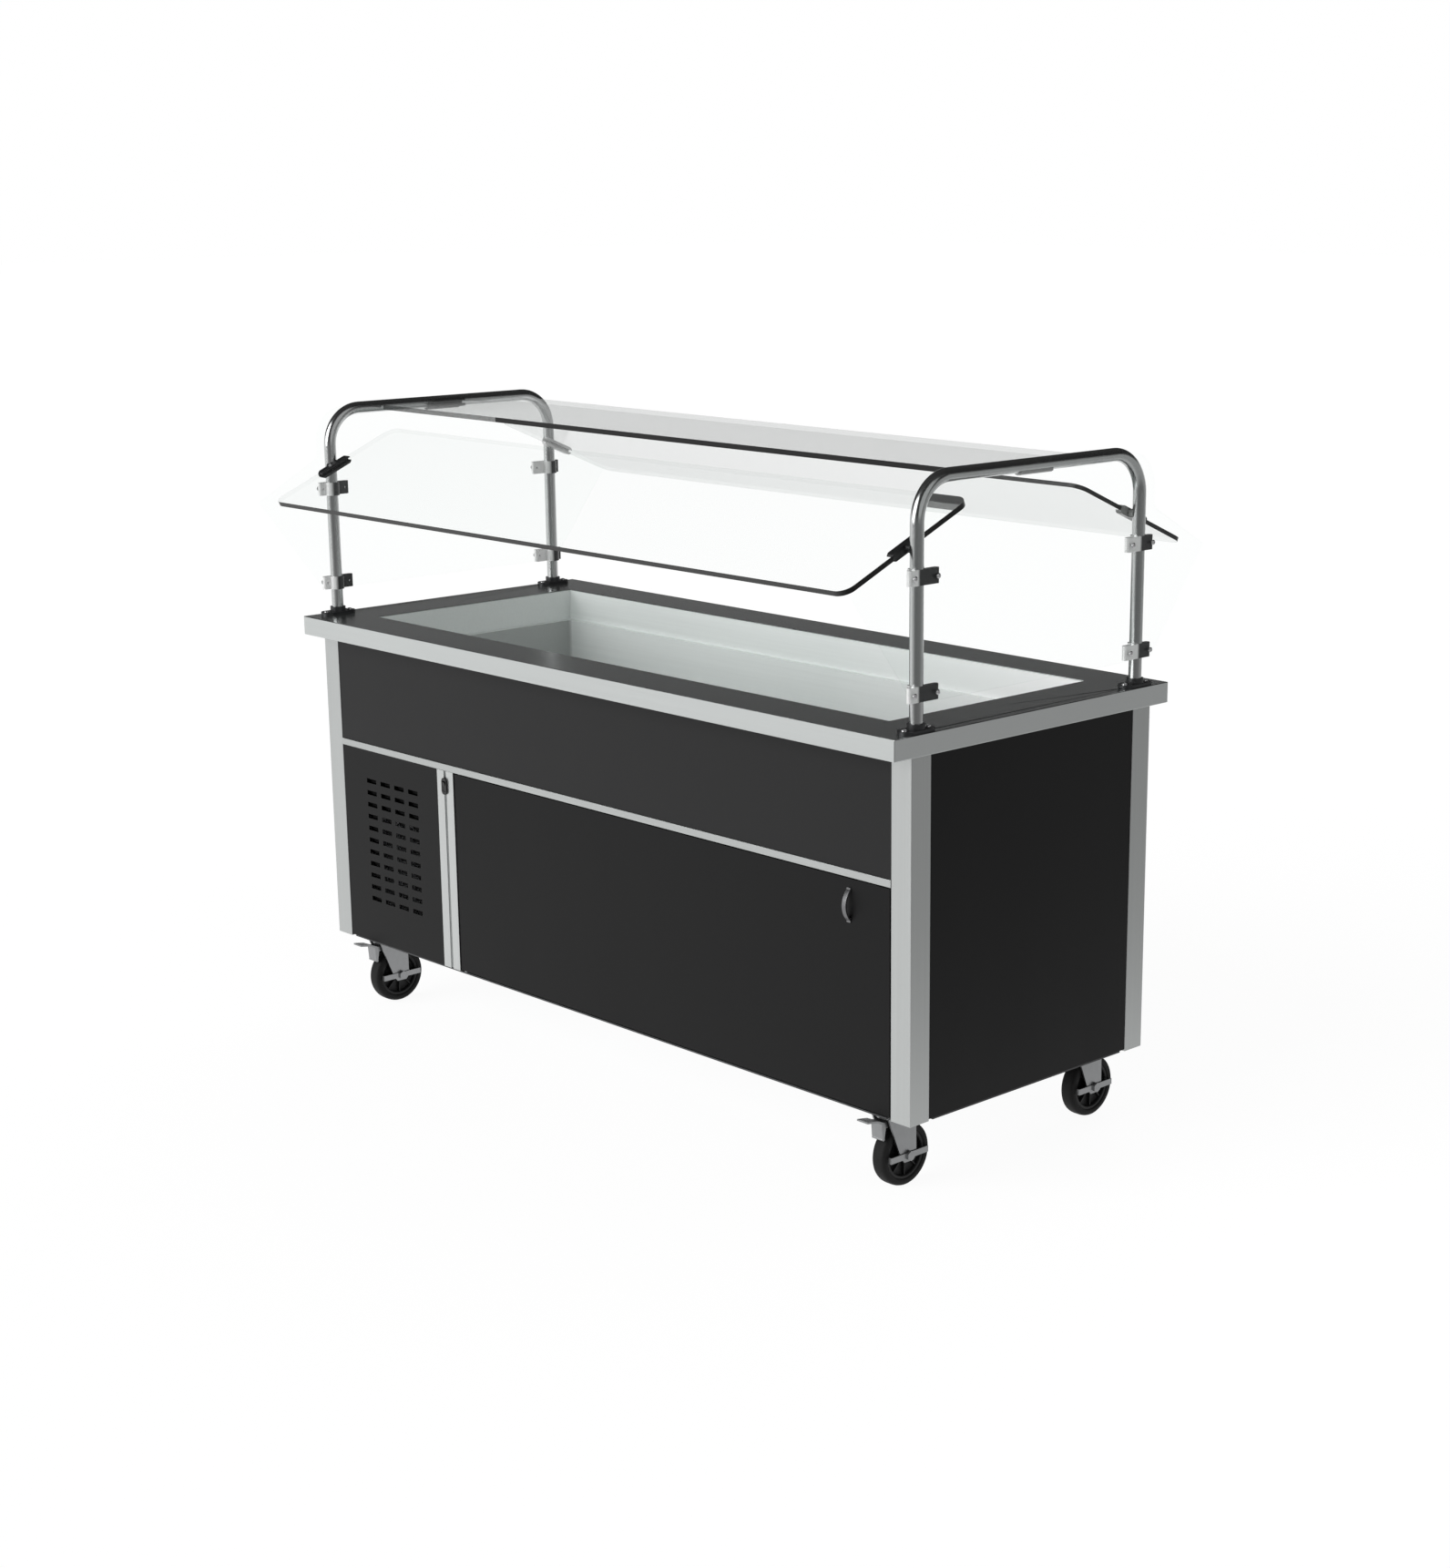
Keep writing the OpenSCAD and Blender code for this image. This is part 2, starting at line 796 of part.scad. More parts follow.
// Cord gland: threaded body through the back panel, locknut, body nut and dome nut.
module cord_gland() {
  color([0.1, 0.1, 0.1])
    difference() {
      union() {
        bar_y(gland_r, panel_in_y - 9, face_y + 6, gland_x, gland_z);
        bar_y(15, panel_in_y - 6, panel_in_y - gap, gland_x, gland_z, $fn = 6);
        bar_y(15, face_y + gap, face_y + 6, gland_x, gland_z, $fn = 6);
        translate([gland_x, face_y + 6, gland_z])
          rotate([-90, 0, 0])
            cylinder(r1 = 13, r2 = 8.5, h = 14);
      }
      bar_y(4.5, 0, 400, gland_x, gland_z);
    }
}

// Tray that carries the condensing unit.
module unit_base() {
  color("dimgray")
    difference() {
      block(-848, mull_x0 - 12, -300, 300, floor_z, floor_z + 12);
      block(-846.5, mull_x0 - 13.5, -298.5, 298.5, floor_z + 2, floor_z + 13);
    }
}

// Welded steel pot on three rubber-footed lugs, with a terminal cover.
module compressor() {
  z0 = floor_z + 2;
  shell_h = 175;
  round_r = 34;
  color([0.1, 0.1, 0.1])
    translate([pot_x, pot_y, z0]) {
      translate([0, 0, 10])
        rotate_extrude() {
          square([pot_r - round_r, shell_h]);
          translate([0, round_r])
            square([pot_r, shell_h - 2 * round_r]);
          for (z = [round_r, shell_h - round_r])
            translate([pot_r - round_r, z])
              circle(r = round_r);
        }
      translate([0, 0, 95])
        cylinder(r = pot_r + 3, h = 5);
      for (a = [30, 150, 270])
        rotate([0, 0, a]) {
          block(0, 105, -16, 16, 8, 13);
          bar_z(13, 0, 13, 98, 0);
        }
      block(-pot_r - 22, -40, -28, 28, 75, 135);
    }
}

// Finned block with end plates and the return bends of its tubes.
module condenser() {
  x0 = -842;
  x1 = -560;
  y0 = -298;
  y1 = -262;
  z0 = floor_z + 3;
  z1 = z0 + 250;
  fins = 30;
  pitch = (x1 - x0 - 8) / fins;
  bends = 5;
  color("silver")
    union() {
      difference() {
        block(x0, x1, y0, y1, z0, z1);
        for (i = [0 : fins - 1])
          for (y = [y0 - 1, -276])
            block(x0 + 4 + i * pitch + 1, x0 + 4 + (i + 1) * pitch, y, y + 19, z0 + 5, z1 - 5);
      }
      for (i = [0 : bends - 1])
        translate([x1, -272, z0 + 45 + i * 42])
          rotate([90, 0, 0])
            rotate([0, 0, -90])
              rotate_extrude(angle = 180)
                translate([12, 0])
                  circle(r = 4, $fn = small_fn);
    }
}

// Plate behind the condenser with a round collar for the fan.
module fan_shroud() {
  color("dimgray")
    difference() {
      union() {
        block(-842, -560, -258, -255, floor_z + 3, floor_z + 253);
        bar_y(fan_r + 8, -257, -222, fan_x, fan_z);
      }
      bar_y(fan_r + 5, -270, -200, fan_x, fan_z);
    }
}

// Motor can with a boss for the shaft and a three-armed bracket to the shroud.
module fan_motor() {
  color("gray")
    difference() {
      union() {
        bar_y(38, -205, -140, fan_x, fan_z);
        bar_y(12, -216, -204, fan_x, fan_z);
        for (a = [90, 210, 330])
          translate([fan_x, 0, fan_z])
            rotate([0, -a, 0]) {
              block(30, 116, -198, -194, -7, 7);
              block(108, 116, -255, -195, -7, 7);
            }
      }
      bar_y(4 + fit, -220, -150, fan_x, fan_z);
    }
}

// Hub, shaft and five pitched blades trimmed to a round sweep.
module fan_blade() {
  blades = 5;
  color([0.25, 0.25, 0.25]) {
    bar_y(20, -246, -222, fan_x, fan_z);
    bar_y(4, -223, -160, fan_x, fan_z);
    intersection() {
      difference() {
        bar_y(fan_r, -248, -219, fan_x, fan_z);
        bar_y(10, -250, -210, fan_x, fan_z);
      }
      for (i = [0 : blades - 1])
        translate([fan_x, -234, fan_z])
          rotate([0, i * 360 / blades, 0])
            rotate([28, 0, 0])
              translate([12, -1, -24])
                cube([90, 2, 48]);
    }
  }
}

// A quarter bend of copper tube. It starts at the origin along +X and leaves along +Z.
module quarter_bend(r) {
  translate([0, 0, r])
    rotate([90, 0, 0])
      rotate([0, 0, -90])
        rotate_extrude(angle = 90)
          translate([r, 0])
            circle(r = line_r, $fn = small_fn);
}

// Suction riser up into the well, and the discharge line to the condenser.
module refrigerant_lines() {
  bend = 20;
  suction_z = 310;
  feed_z = 260;
  start = pot_x + pot_r + gap;
  line_x = -530;
  coil_end = -560 + gap;
  coil_y = -282;
  color("chocolate") {
    bar_x(line_r, start, suction_x - bend, pot_y, suction_z, $fn = small_fn);
    translate([suction_x - bend, pot_y, suction_z])
      quarter_bend(bend);
    bar_z(line_r, suction_z + bend, foam_floor - 12.3, suction_x, pot_y, $fn = small_fn);
    bar_x(line_r, start, line_x - bend, pot_y, feed_z, $fn = small_fn);
    translate([line_x - bend, pot_y, feed_z])
      rotate([90, 0, 0])
        quarter_bend(bend);
    bar_y(line_r, coil_y + bend, pot_y - bend, line_x, feed_z, $fn = small_fn);
    translate([line_x, coil_y + bend, feed_z])
      rotate([90, 0, -90])
        quarter_bend(bend);
    bar_x(line_r, coil_end, line_x - bend, coil_y, feed_z, $fn = small_fn);
  }
}

// Box of switchgear on the partition, with a control knob.
module control_box() {
  color("dimgray") {
    block(-566, mull_x0 + 5.7, -240, -160, 470, 560);
    block(-568, -565, -243, -157, 467, 563);
    bar_x(14, -582, -567, -200, 515);
  }
}

// ---------------------------------------------------------------- breath guard

// The centre line of one arch as a solid of the given radius, closed over by its bends.
module arch_run(r, z0) {
  top_y = arch_y - bend_r;
  for (face = [front, back])
    on_face(face) {
      bar_z(r, z0, arch_z - bend_r, arch_x, arch_y);
      translate([arch_x, top_y, arch_z - bend_r])
        rotate([90, 0, 90])
          rotate_extrude(angle = 90)
            translate([bend_r, 0])
              circle(r = r);
    }
  bar_y(r, -top_y, top_y, arch_x, arch_z);
}

// Inverted U of round tube with a 1.5 mm wall.
module arch(side) {
  color("lightgray")
    on_side(side)
      difference() {
        arch_run(tube_r, top_z + 1.5);
        arch_run(tube_r - 1.5, top_z + 1);
      }
}

// Oblong two-hole flanges with a collar, one under each post.
module arch_feet() {
  color("dimgray")
    four_corners()
      translate([arch_x, arch_y, top_z])
        difference() {
          union() {
            rotate([0, 0, 90])
              linear_extrude(foot_t)
                stadium(82, 36);
            cylinder(r = tube_r + 4, h = 16);
          }
          translate([0, 0, 1.2])
            cylinder(r = tube_r + fit, h = 20);
          for (side = [-1, 1])
            translate([0, side * foot_screw, -1])
              cylinder(r = 3.1, h = 20, $fn = small_fn);
        }
}

// Flat clear sheet between the tops of the arches.
module top_panel() {
  color([0.8, 0.9, 0.92, 0.35])
    block(-clear_x, clear_x, -168, 168, arch_z - 2 - clear_t / 2, arch_z - 2 + clear_t / 2);
}

// Moves to a guard's lower edge at the back, with +Y up the slope towards the middle.
module along_guard() {
  translate([0, guard_y2, guard_z2])
    rotate([-guard_angle, 0, 0])
      mirror([0, 1, 0])
        children();
}

// Sloping clear sheet at the front or the back.
module guard(face) {
  color([0.8, 0.9, 0.92, 0.35])
    on_face(face)
      along_guard()
        soft_block(-clear_x, clear_x, 0, guard_len, -clear_t / 2, clear_t / 2, guard_r);
}

// Outline of an end panel in Y and Z: a body that follows the arch, with an ear at each side
// that reaches out under the sloping guard.
module end_outline() {
  half = 325;
  corner = 70;
  top = arch_z + 3;
  low = 944;
  polygon([[-half, low], [half, low], [478, 1148], [337, 1226], [half, 1236],
           [-half, 1236], [-337, 1226], [-478, 1148]]);
  translate([-half, low])
    square([2 * half, top - corner - low]);
  translate([-half + corner, low])
    square([2 * (half - corner), top - low]);
  for (side = [-1, 1])
    translate([side * (half - corner), top - corner])
      circle(r = corner);
}

// The clamps' places on the posts, with +Y away from the middle.
module clamp_positions() {
  for (face = [front, back])
    on_face(face)
      for (z = [clamp_low_z, clamp_high_z])
        translate([arch_x, arch_y, z])
          children();
}

// Clear end panel outside an arch.
module end_guard(side) {
  color([0.8, 0.9, 0.92, 0.35])
    on_side(side)
      difference() {
        profile_x(end_in, end_out)
          end_outline();
        clamp_positions()
          for (y = clamp_screws)
            bar_x(2.6, 0, 50, y, 0, $fn = small_fn);
      }
}

// Slotted bars beside the posts, tilted with the guards that they hold. A boss joins each bar to
// its post.
module guard_brackets() {
  slot = clear_t / 2 + 0.1;
  bar_len = 83;
  boss_len = 30;
  thick = 17;
  from_edge = (guard_y2 - arch_y) / cos(guard_angle);
  color("gray")
    four_corners()
      difference() {
        along_guard()
          difference() {
            union() {
              translate([0, from_edge - 6, 0])
                profile_x(arch_x - 30, arch_x - 16)
                  stadium(bar_len, thick);
              translate([0, from_edge, 0])
                profile_x(arch_x - 17, arch_x - 4)
                  stadium(boss_len, thick);
            }
            block(0, clear_x + 0.2, 0, guard_len + 40, -slot, slot);
          }
        bar_z(tube_r + fit, 1100, 1400, arch_x, arch_y);
      }
}

// Saddles round the posts with round-ended arms that carry the end panels: a short arm away from
// the middle and a long one towards it.
module end_clamps() {
  arm_t = 12;
  arm_face = end_in - arch_x - 0.2;
  color("gray")
    for (side = [left, right])
      on_side(side)
        clamp_positions()
          difference() {
            translate([0, 0, -clamp_h / 2])
              linear_extrude(clamp_h)
                difference() {
                  union() {
                    intersection() {
                      circle(r = tube_r + 3.5);
                      translate([-30, -30])
                        square([30 + arm_face, 60]);
                    }
                    translate([arm_face - arm_t / 2, (clamp_out - clamp_in) / 2])
                      rotate([0, 0, 90])
                        stadium(clamp_out + clamp_in, arm_t);
                  }
                  circle(r = tube_r + fit);
                }
            for (y = clamp_screws)
              bar_x(2.6, 0, 50, y, 0, $fn = small_fn);
          }
}

// Saddles under the top tubes, slotted for the top panel.
module top_clamps() {
  slot = clear_t / 2 + 0.1;
  color("gray")
    for (side = [left, right])
      on_side(side)
        translate([arch_x, 43, arch_z])
          rotate([90, 0, 0])
            linear_extrude(86)
              difference() {
                union() {
                  intersection() {
                    circle(r = tube_r + 4);
                    translate([-30, -30])
                      square([40, 37]);
                  }
                  translate([-31, -11])
                    square([20, 18]);
                }
                circle(r = tube_r + fit);
                translate([-40, -2 - slot])
                  square([40 + clear_x - arch_x + 0.2, 2 * slot]);
              }
}

// Screws of the feet, the end clamps and the casters.
module screws() {
  color("silver")
    four_corners() {
      for (s = [-1, 1])
        translate([arch_x, arch_y + s * foot_screw, top_z + foot_t])
          screw(3, foot_t + top_t, 5.5, 3);
      for (z = [clamp_low_z, clamp_high_z])
        for (y = clamp_screws)
          translate([end_out, arch_y + y, z])
            rotate([0, 90, 0])
              screw(2.5, end_out - end_in + 10, 5, 2.2);
      for (dx = [-1, 1])
        for (dy = [-1, 1])
          translate([caster_x + dx * bolt_dx, caster_y + dy * bolt_dy, plate_z])
            mirror([0, 0, 1])
              screw(4, 10, 6.5, 4);
    }
}

// ---------------------------------------------------------------- casters

// Top plates, each with its upper race and kingpin.
module caster_plates() {
  color("silver")
    four_corners()
      difference() {
        union() {
          block(caster_x - 50, caster_x + 50, caster_y - 42.5, caster_y + 42.5, plate_z, body_z0);
          bar_z(31, plate_z - 4, plate_z + 1, caster_x, caster_y);
          bar_z(axle_r, plate_z - 17, plate_z + 1, caster_x, caster_y);
          bar_z(10, plate_z - 20, plate_z - 14, caster_x, caster_y, $fn = 6);
        }
        caster_bolt_holes(4.2);
      }
}

// A caster's kingpin stands at the origin, on the floor plane, in the modules below.
module at_caster(side, face) {
  translate([side * caster_x, face * caster_y, 0])
    children();
}

// Side plate of a fork in Y and Z.
module fork_leg() {
  foot = 20;
  polygon([[-37, 146], [trail - foot, 60], [trail - foot + 8, 50],
           [trail + foot - 8, 50], [trail + foot, 60], [36, 146]]);
}

// Crown with the lower race, two legs, the axle bolt and a toe guard round the outer side.
module caster_fork(side, face) {
  inner = wheel_w / 2 + 3;
  outer = inner + 3.5;
  guard = 48;
  color("darkgray")
    at_caster(side, face) {
      difference() {
        union() {
          translate([0, 0, 142.5])
            cylinder(r = 36, h = 4);
          translate([0, 0, 145])
            cylinder(r = 30, h = 4.3);
          for (x = [-outer, inner])
            profile_x(x, x + 3.5)
              fork_leg();
          block(outer - 0.5, outer + 2.5, trail - guard, trail + guard, 57, 69);
          for (end = [-1, 1])
            block(inner - 1.5, outer + 2.5, trail + end * guard - 1.5, trail + end * guard + 1.5, 57, 69);
        }
        translate([0, 0, 130])
          cylinder(r = axle_r + fit, h = 30);
        if (face == front)
          bar_x(3, -outer - 1, outer + 1, pedal_y, pedal_z, $fn = small_fn);
      }
      bar_x(axle_r, -outer - 6, outer + 6, trail, wheel_r);
      bar_x(10, -outer - 7, -outer + 0.5, trail, wheel_r, $fn = 6);
      bar_x(10, outer + 2, outer + 7, trail, wheel_r, $fn = 6);
    }
}

// Hub with a web and a rim, and the tyre on it with rounded shoulders.
module caster_wheel(side, face) {
  half = wheel_w / 2;
  seat = wheel_r - 14;
  shoulder = 6;
  color([0.08, 0.08, 0.08])
    at_caster(side, face)
      translate([0, trail, wheel_r])
        rotate([0, 90, 0]) {
          rotate_extrude() {
            translate([axle_r + 0.06, -half - 2])
              square([10, wheel_w + 4]);
            translate([axle_r + 2, -4])
              square([seat - axle_r, 8]);
            translate([seat - 6, -half + 3])
              square([7, wheel_w - 6]);
            translate([seat, -half])
              square([wheel_r - shoulder - seat, wheel_w]);
            translate([seat, -half + shoulder])
              square([wheel_r - seat, wheel_w - 2 * shoulder]);
            for (s = [-1, 1])
              translate([wheel_r - shoulder, s * (half - shoulder)])
                circle(r = shoulder);
          }
        }
}

// Brake pedal on a cross pin of the fork, with a shoe that comes down on the tread.
module brake_pedal(side) {
  half = 14;
  color("silver")
    at_caster(side, front) {
      bar_x(3 - fit, -22.4, 22.4, pedal_y, pedal_z, $fn = small_fn);
      profile_x(-half, half)
        polygon([[-17, 128], [-17, 137], [-38, 138], [-58, 146.5], [-84, 151],
                 [-84, 147.5], [-58, 143], [-47, 137], [-44.5, 107], [-40, 105], [-36, 127]]);
      bar_x(3, -half, half, pedal_y - 20, pedal_z - 26, $fn = small_fn);
    }
}

// ---------------------------------------------------------------- parts

countertop();
well_tank();
well_insulation();
well_casing();
evaporator_coil();
drain_strainer();
drain_pipe();
drain_valve();
valve_lever();
base_frame();
header_rails();
cabinet_floor();
bulkhead();
corner_posts();
apron_front();
rear_panel();
end_panel(left);  // end_panel_left
end_panel(right);  // end_panel_right
trim_strip();
mullion();
louvre_panel();
switch_housing();
switch_rocker();
door_pivots();
door_catch();
door_panel();
door_handle();
catch_plate();
cord_gland();
unit_base();
compressor();
condenser();
fan_shroud();
fan_motor();
fan_blade();
refrigerant_lines();
control_box();
arch(left);  // arch_left
arch(right);  // arch_right
arch_feet();
top_panel();
guard(front);  // front_guard
guard(back);  // rear_guard
end_guard(left);  // end_guard_left
end_guard(right);  // end_guard_right
guard_brackets();
end_clamps();
top_clamps();
screws();
caster_plates();
caster_fork(left, front);  // fork_front_left
caster_fork(right, front);  // fork_front_right
caster_fork(left, back);  // fork_rear_left
caster_fork(right, back);  // fork_rear_right
caster_wheel(left, front);  // wheel_front_left
caster_wheel(right, front);  // wheel_front_right
caster_wheel(left, back);  // wheel_rear_left
caster_wheel(right, back);  // wheel_rear_right
brake_pedal(left);  // pedal_front_left
brake_pedal(right);  // pedal_front_right
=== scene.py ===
# %% [markdown]
# # A mobile salad bar, dressed in Blender
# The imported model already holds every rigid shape: the steel counter, the cabinet, the arches, the
# clear guards and the casters. What it lacks is what the eye checks first: soft edges, brushed
# steel, the grain of a laminate, the dark cut edges of an acrylic sheet. So most pieces here keep
# their own shape and get a finish, and only a few, such as the tyres and the screws, are made anew.

# %% Load the frame
import math

import bmesh
import bpy
from mathutils import Matrix, Vector


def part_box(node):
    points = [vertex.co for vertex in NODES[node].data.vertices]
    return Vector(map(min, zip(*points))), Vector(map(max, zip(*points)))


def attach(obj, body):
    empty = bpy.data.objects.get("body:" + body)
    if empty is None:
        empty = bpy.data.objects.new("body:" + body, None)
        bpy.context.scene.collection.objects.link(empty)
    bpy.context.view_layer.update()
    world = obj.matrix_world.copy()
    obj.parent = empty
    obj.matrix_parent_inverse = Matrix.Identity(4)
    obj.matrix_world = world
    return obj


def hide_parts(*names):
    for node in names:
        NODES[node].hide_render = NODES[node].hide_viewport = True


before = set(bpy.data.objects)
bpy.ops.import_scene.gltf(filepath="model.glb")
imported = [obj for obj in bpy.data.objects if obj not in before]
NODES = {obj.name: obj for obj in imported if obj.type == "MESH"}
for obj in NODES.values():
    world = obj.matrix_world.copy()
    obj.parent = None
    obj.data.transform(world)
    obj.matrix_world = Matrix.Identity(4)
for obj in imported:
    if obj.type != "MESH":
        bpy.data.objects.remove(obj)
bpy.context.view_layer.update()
MM = 0.001
X, Y, Z = 0, 1, 2
LEFT, RIGHT, FRONT, BACK = -1, 1, -1, 1

# %% [markdown]
# ## The camera
# A photograph fixes its camera. The place, the turn and the focal length were solved from the
# cabinet's own edges, so a render can be laid over the photograph. Blender counts the lens in
# millimetres on a 36 mm wide sensor, along the picture's longer side, and counts the shift in
# shares of that side.

# %% Camera
PHOTO_W, PHOTO_H = 1592, 1722
FOCAL_PX = 2943.94
CENTRE_PX = (967.17, 928.17)
EYE = Vector((4.10789, -3.64074, 1.87879))
YAW, PITCH, ROLL = 0.78018, 0.25256, 0.00155
SENSOR_MM = 36

ahead = Vector((-math.sin(YAW) * math.cos(PITCH), math.cos(YAW) * math.cos(PITCH), -math.sin(PITCH)))
level_right = ahead.cross(Vector((0, 0, 1))).normalized()
level_up = level_right.cross(ahead)
right = level_right * math.cos(ROLL) + level_up * math.sin(ROLL)
up = level_up * math.cos(ROLL) - level_right * math.sin(ROLL)

lens = bpy.data.cameras.new("camera")
lens.sensor_width = SENSOR_MM
lens.lens = FOCAL_PX * SENSOR_MM / PHOTO_H
lens.shift_x = (PHOTO_W / 2 - CENTRE_PX[0]) / PHOTO_H
lens.shift_y = (CENTRE_PX[1] - PHOTO_H / 2) / PHOTO_H
camera = bpy.data.objects.new("camera", lens)
camera.matrix_world = Matrix.Translation(EYE) @ Matrix((right, up, -ahead)).transposed().to_4x4()
bpy.context.scene.collection.objects.link(camera)
bpy.context.scene.camera = camera
bpy.context.scene.view_settings.view_transform = "Standard"
print("lens", round(lens.lens, 2), "shift", round(lens.shift_x, 4), round(lens.shift_y, 4))

# %% [markdown]
# ## Shader maths as Python
# A finish is a tree of nodes, and a tree built by hand is long. Here one small class wraps an
# output socket and overloads the operators, so an expression such as `1 - mask` adds its Math
# nodes by itself. Every other node comes from one method, which sets the node's settings first
# and then the values or links of its sockets.


# %% A socket that can be added and multiplied
class Wire:
    """A value that changes over a surface: one output socket of a finish's nodes."""

    def __init__(self, finish, socket):
        self.finish, self.socket = finish, socket

    def maths(self, operation, *values):
        return self.finish.node("Math", {"operation": operation}, dict(enumerate(values)))

    def __add__(self, other):
        return self.maths("ADD", self, other)

    def __sub__(self, other):
        return self.maths("SUBTRACT", self, other)

    def __rsub__(self, other):
        return self.maths("SUBTRACT", other, self)

    def __mul__(self, other):
        return self.maths("MULTIPLY", self, other)

    def __lt__(self, other):
        return self.maths("LESS_THAN", self, other)

    def __abs__(self):
        return self.maths("ABSOLUTE", self)

    def __pow__(self, other):
        return self.maths("POWER", self, other)

    __radd__ = __add__
    __rmul__ = __mul__

    def clamped(self):
        return self.finish.node("Clamp", {}, {0: self})

    def ramp(self, start, slope):
        """0 up to the start, then rising by the slope until it is 1."""
        return ((self - start) * slope).clamped()


print("wires ready")


# %% A material and the words that build it
class Finish:
    """A material, and the few words that build its nodes."""

    def __init__(self, name, tree=None):
        if tree is None:
            self.material = bpy.data.materials.new(name)
            self.material.use_nodes = True
            tree = self.material.node_tree
        self.tree = tree
        self.tree.nodes.clear()

    def node(self, kind, settings=None, inputs=None, output=0):
        made = self.tree.nodes.new("ShaderNode" + kind)
        for key, value in (settings or {}).items():
            setattr(made, key, value)
        for key, value in (inputs or {}).items():
            if isinstance(value, Wire):
                self.tree.links.new(value.socket, made.inputs[key])
            else:
                made.inputs[key].default_value = value
        return Wire(self, made.outputs[output]) if made.outputs else None

    def place(self):
        """Where a point is on the object, in metres."""
        return self.node("TexCoord", {}, {}, "Object")

    def along(self, vector, axis):
        """One of the three numbers of a vector."""
        return self.node("SeparateXYZ", {}, {0: vector}, axis)

    def noise(self, stretch, detail=2.0):
        """Cloudy noise. A large number in stretch makes it fine along that axis."""
        spot = self.node("Mapping", {}, {"Vector": self.place(), "Scale": stretch})
        return self.node("TexNoise", {}, {"Vector": spot, "Scale": 1.0, "Detail": detail})

    def cells(self, size, feature="F1", output="Distance"):
        """A pattern of cells, such as pebbles or crystals."""
        inputs = {"Vector": self.place(), "Scale": 1 / size}
        return self.node("TexVoronoi", {"feature": feature}, inputs, output)

    def blend(self, factor, first, second):
        """One colour turning into another."""
        return self.node("Mix", {"data_type": "RGBA"}, {0: factor, 6: first, 7: second}, 2)

    def bump(self, height, depth, strength=0.5):
        return self.node("Bump", {}, {"Height": height, "Distance": depth, "Strength": strength})

    def metal_or_paint(self, **inputs):
        """The usual surface. Underscores in the names stand for spaces."""
        named = {key.replace("_", " "): value for key, value in inputs.items()}
        return self.show(self.node("BsdfPrincipled", {}, named))

    def show(self, shader):
        self.node("OutputMaterial", {"target": "ALL"}, {"Surface": shader})
        return self.material


def rgb(colour, times=1.0, plus=0.0):
    """A colour with full alpha, from one grey or from three numbers."""
    values = colour if isinstance(colour, tuple) else (colour,) * 3
    return (*(min(1.0, c * times + plus) for c in values), 1.0)


print("shader words ready")

# %% [markdown]
# ## Light and floor
# The photograph is a product shot: white all round, soft light mostly from the front, less on the
# right end and little from above. Lamps that shine from far away light every spot alike, so three
# broad suns and a dim sky are enough. The white of the background isn't light at all: it is shown
# to the camera, and to rays that mirror or pass through a clear sheet, by the sky and the floor.

# %% Sky
SKY_AMBIENT, OVERHEAD_DIM = 0.42, 0.55
ROOM_DARK = 0.03
RIGHT_DIM, CAMERA_DIM = 0.62, 0.68
sky = bpy.data.worlds.new("sky")
sky.use_nodes = True
bpy.context.scene.world = sky
air = Finish("sky", sky.node_tree)


def ray_is(finish, kind):
    """1 for rays of one kind, such as those that the camera sends out, and 0 for others."""
    return finish.node("LightPath", {}, {}, f"Is {kind} Ray")


def is_seen(finish):
    return (ray_is(finish, "Camera") + ray_is(finish, "Transmission")).clamped()


toward = air.node("TexCoord", {}, {}, "Generated")
height = air.along(toward, Z)
to_right, to_back = air.along(toward, X), air.along(toward, Y)
side_dark = to_right.ramp(-0.1, 1.4)
camera_dark = (to_right - to_back).ramp(0.4, 1.3)
overhead = height.ramp(0.025, 8)
in_mirrors = (1 - overhead * (1 - ROOM_DARK)) * (1 - side_dark * RIGHT_DIM)
in_mirrors = in_mirrors * (1 - camera_dark * CAMERA_DIM)
ambient = SKY_AMBIENT * (1 - height.ramp(0.1, 1.5) * OVERHEAD_DIM)
mirrored = ray_is(air, "Glossy")
seen = is_seen(air)
strength = seen + (1 - seen) * (mirrored * in_mirrors + (1 - mirrored) * ambient)
backdrop = air.node("Background", {}, {"Color": rgb(1.0), "Strength": strength})
air.node("OutputWorld", {}, {"Surface": backdrop})
print("sky", SKY_AMBIENT, "darkest in mirrors", ROOM_DARK)


# %% Lamps
def sun(name, beam, strength, spread_deg, in_mirrors=True):
    """A distant lamp. Its spread is how soft its shadows are."""
    data = bpy.data.lights.new(name, "SUN")
    data.energy = strength
    data.angle = math.radians(spread_deg)
    lamp = bpy.data.objects.new(name, data)
    lamp.visible_glossy = in_mirrors
    lamp.rotation_euler = Vector(beam).to_track_quat("-Z", "Y").to_euler()
    bpy.context.scene.collection.objects.link(lamp)


sun("front_softbox", (0.28, 0.90, -0.34), 2.0, 50)
sun("right_softbox", (-0.92, 0.10, -0.38), 0.42, 60)
sun("back_softbox", (0.30, -0.85, -0.43), 0.55, 60, in_mirrors=False)
print("lamps", [lamp.name for lamp in bpy.data.lights])

# %% Floor
FLOOR_HALF = 40.0
FLOOR_GLOW = 0.93
SEEN_GREY, UNSEEN_GREY = 0.13, 0.6
floor_mesh = bpy.data.meshes.new("floor")
around = [(LEFT, FRONT), (RIGHT, FRONT), (RIGHT, BACK), (LEFT, BACK)]
floor_corners = [(side * FLOOR_HALF, face * FLOOR_HALF, 0) for side, face in around]
floor_mesh.from_pydata(floor_corners, [], [(0, 1, 2, 3)])
floor = bpy.data.objects.new("floor", floor_mesh)
bpy.context.scene.collection.objects.link(floor)

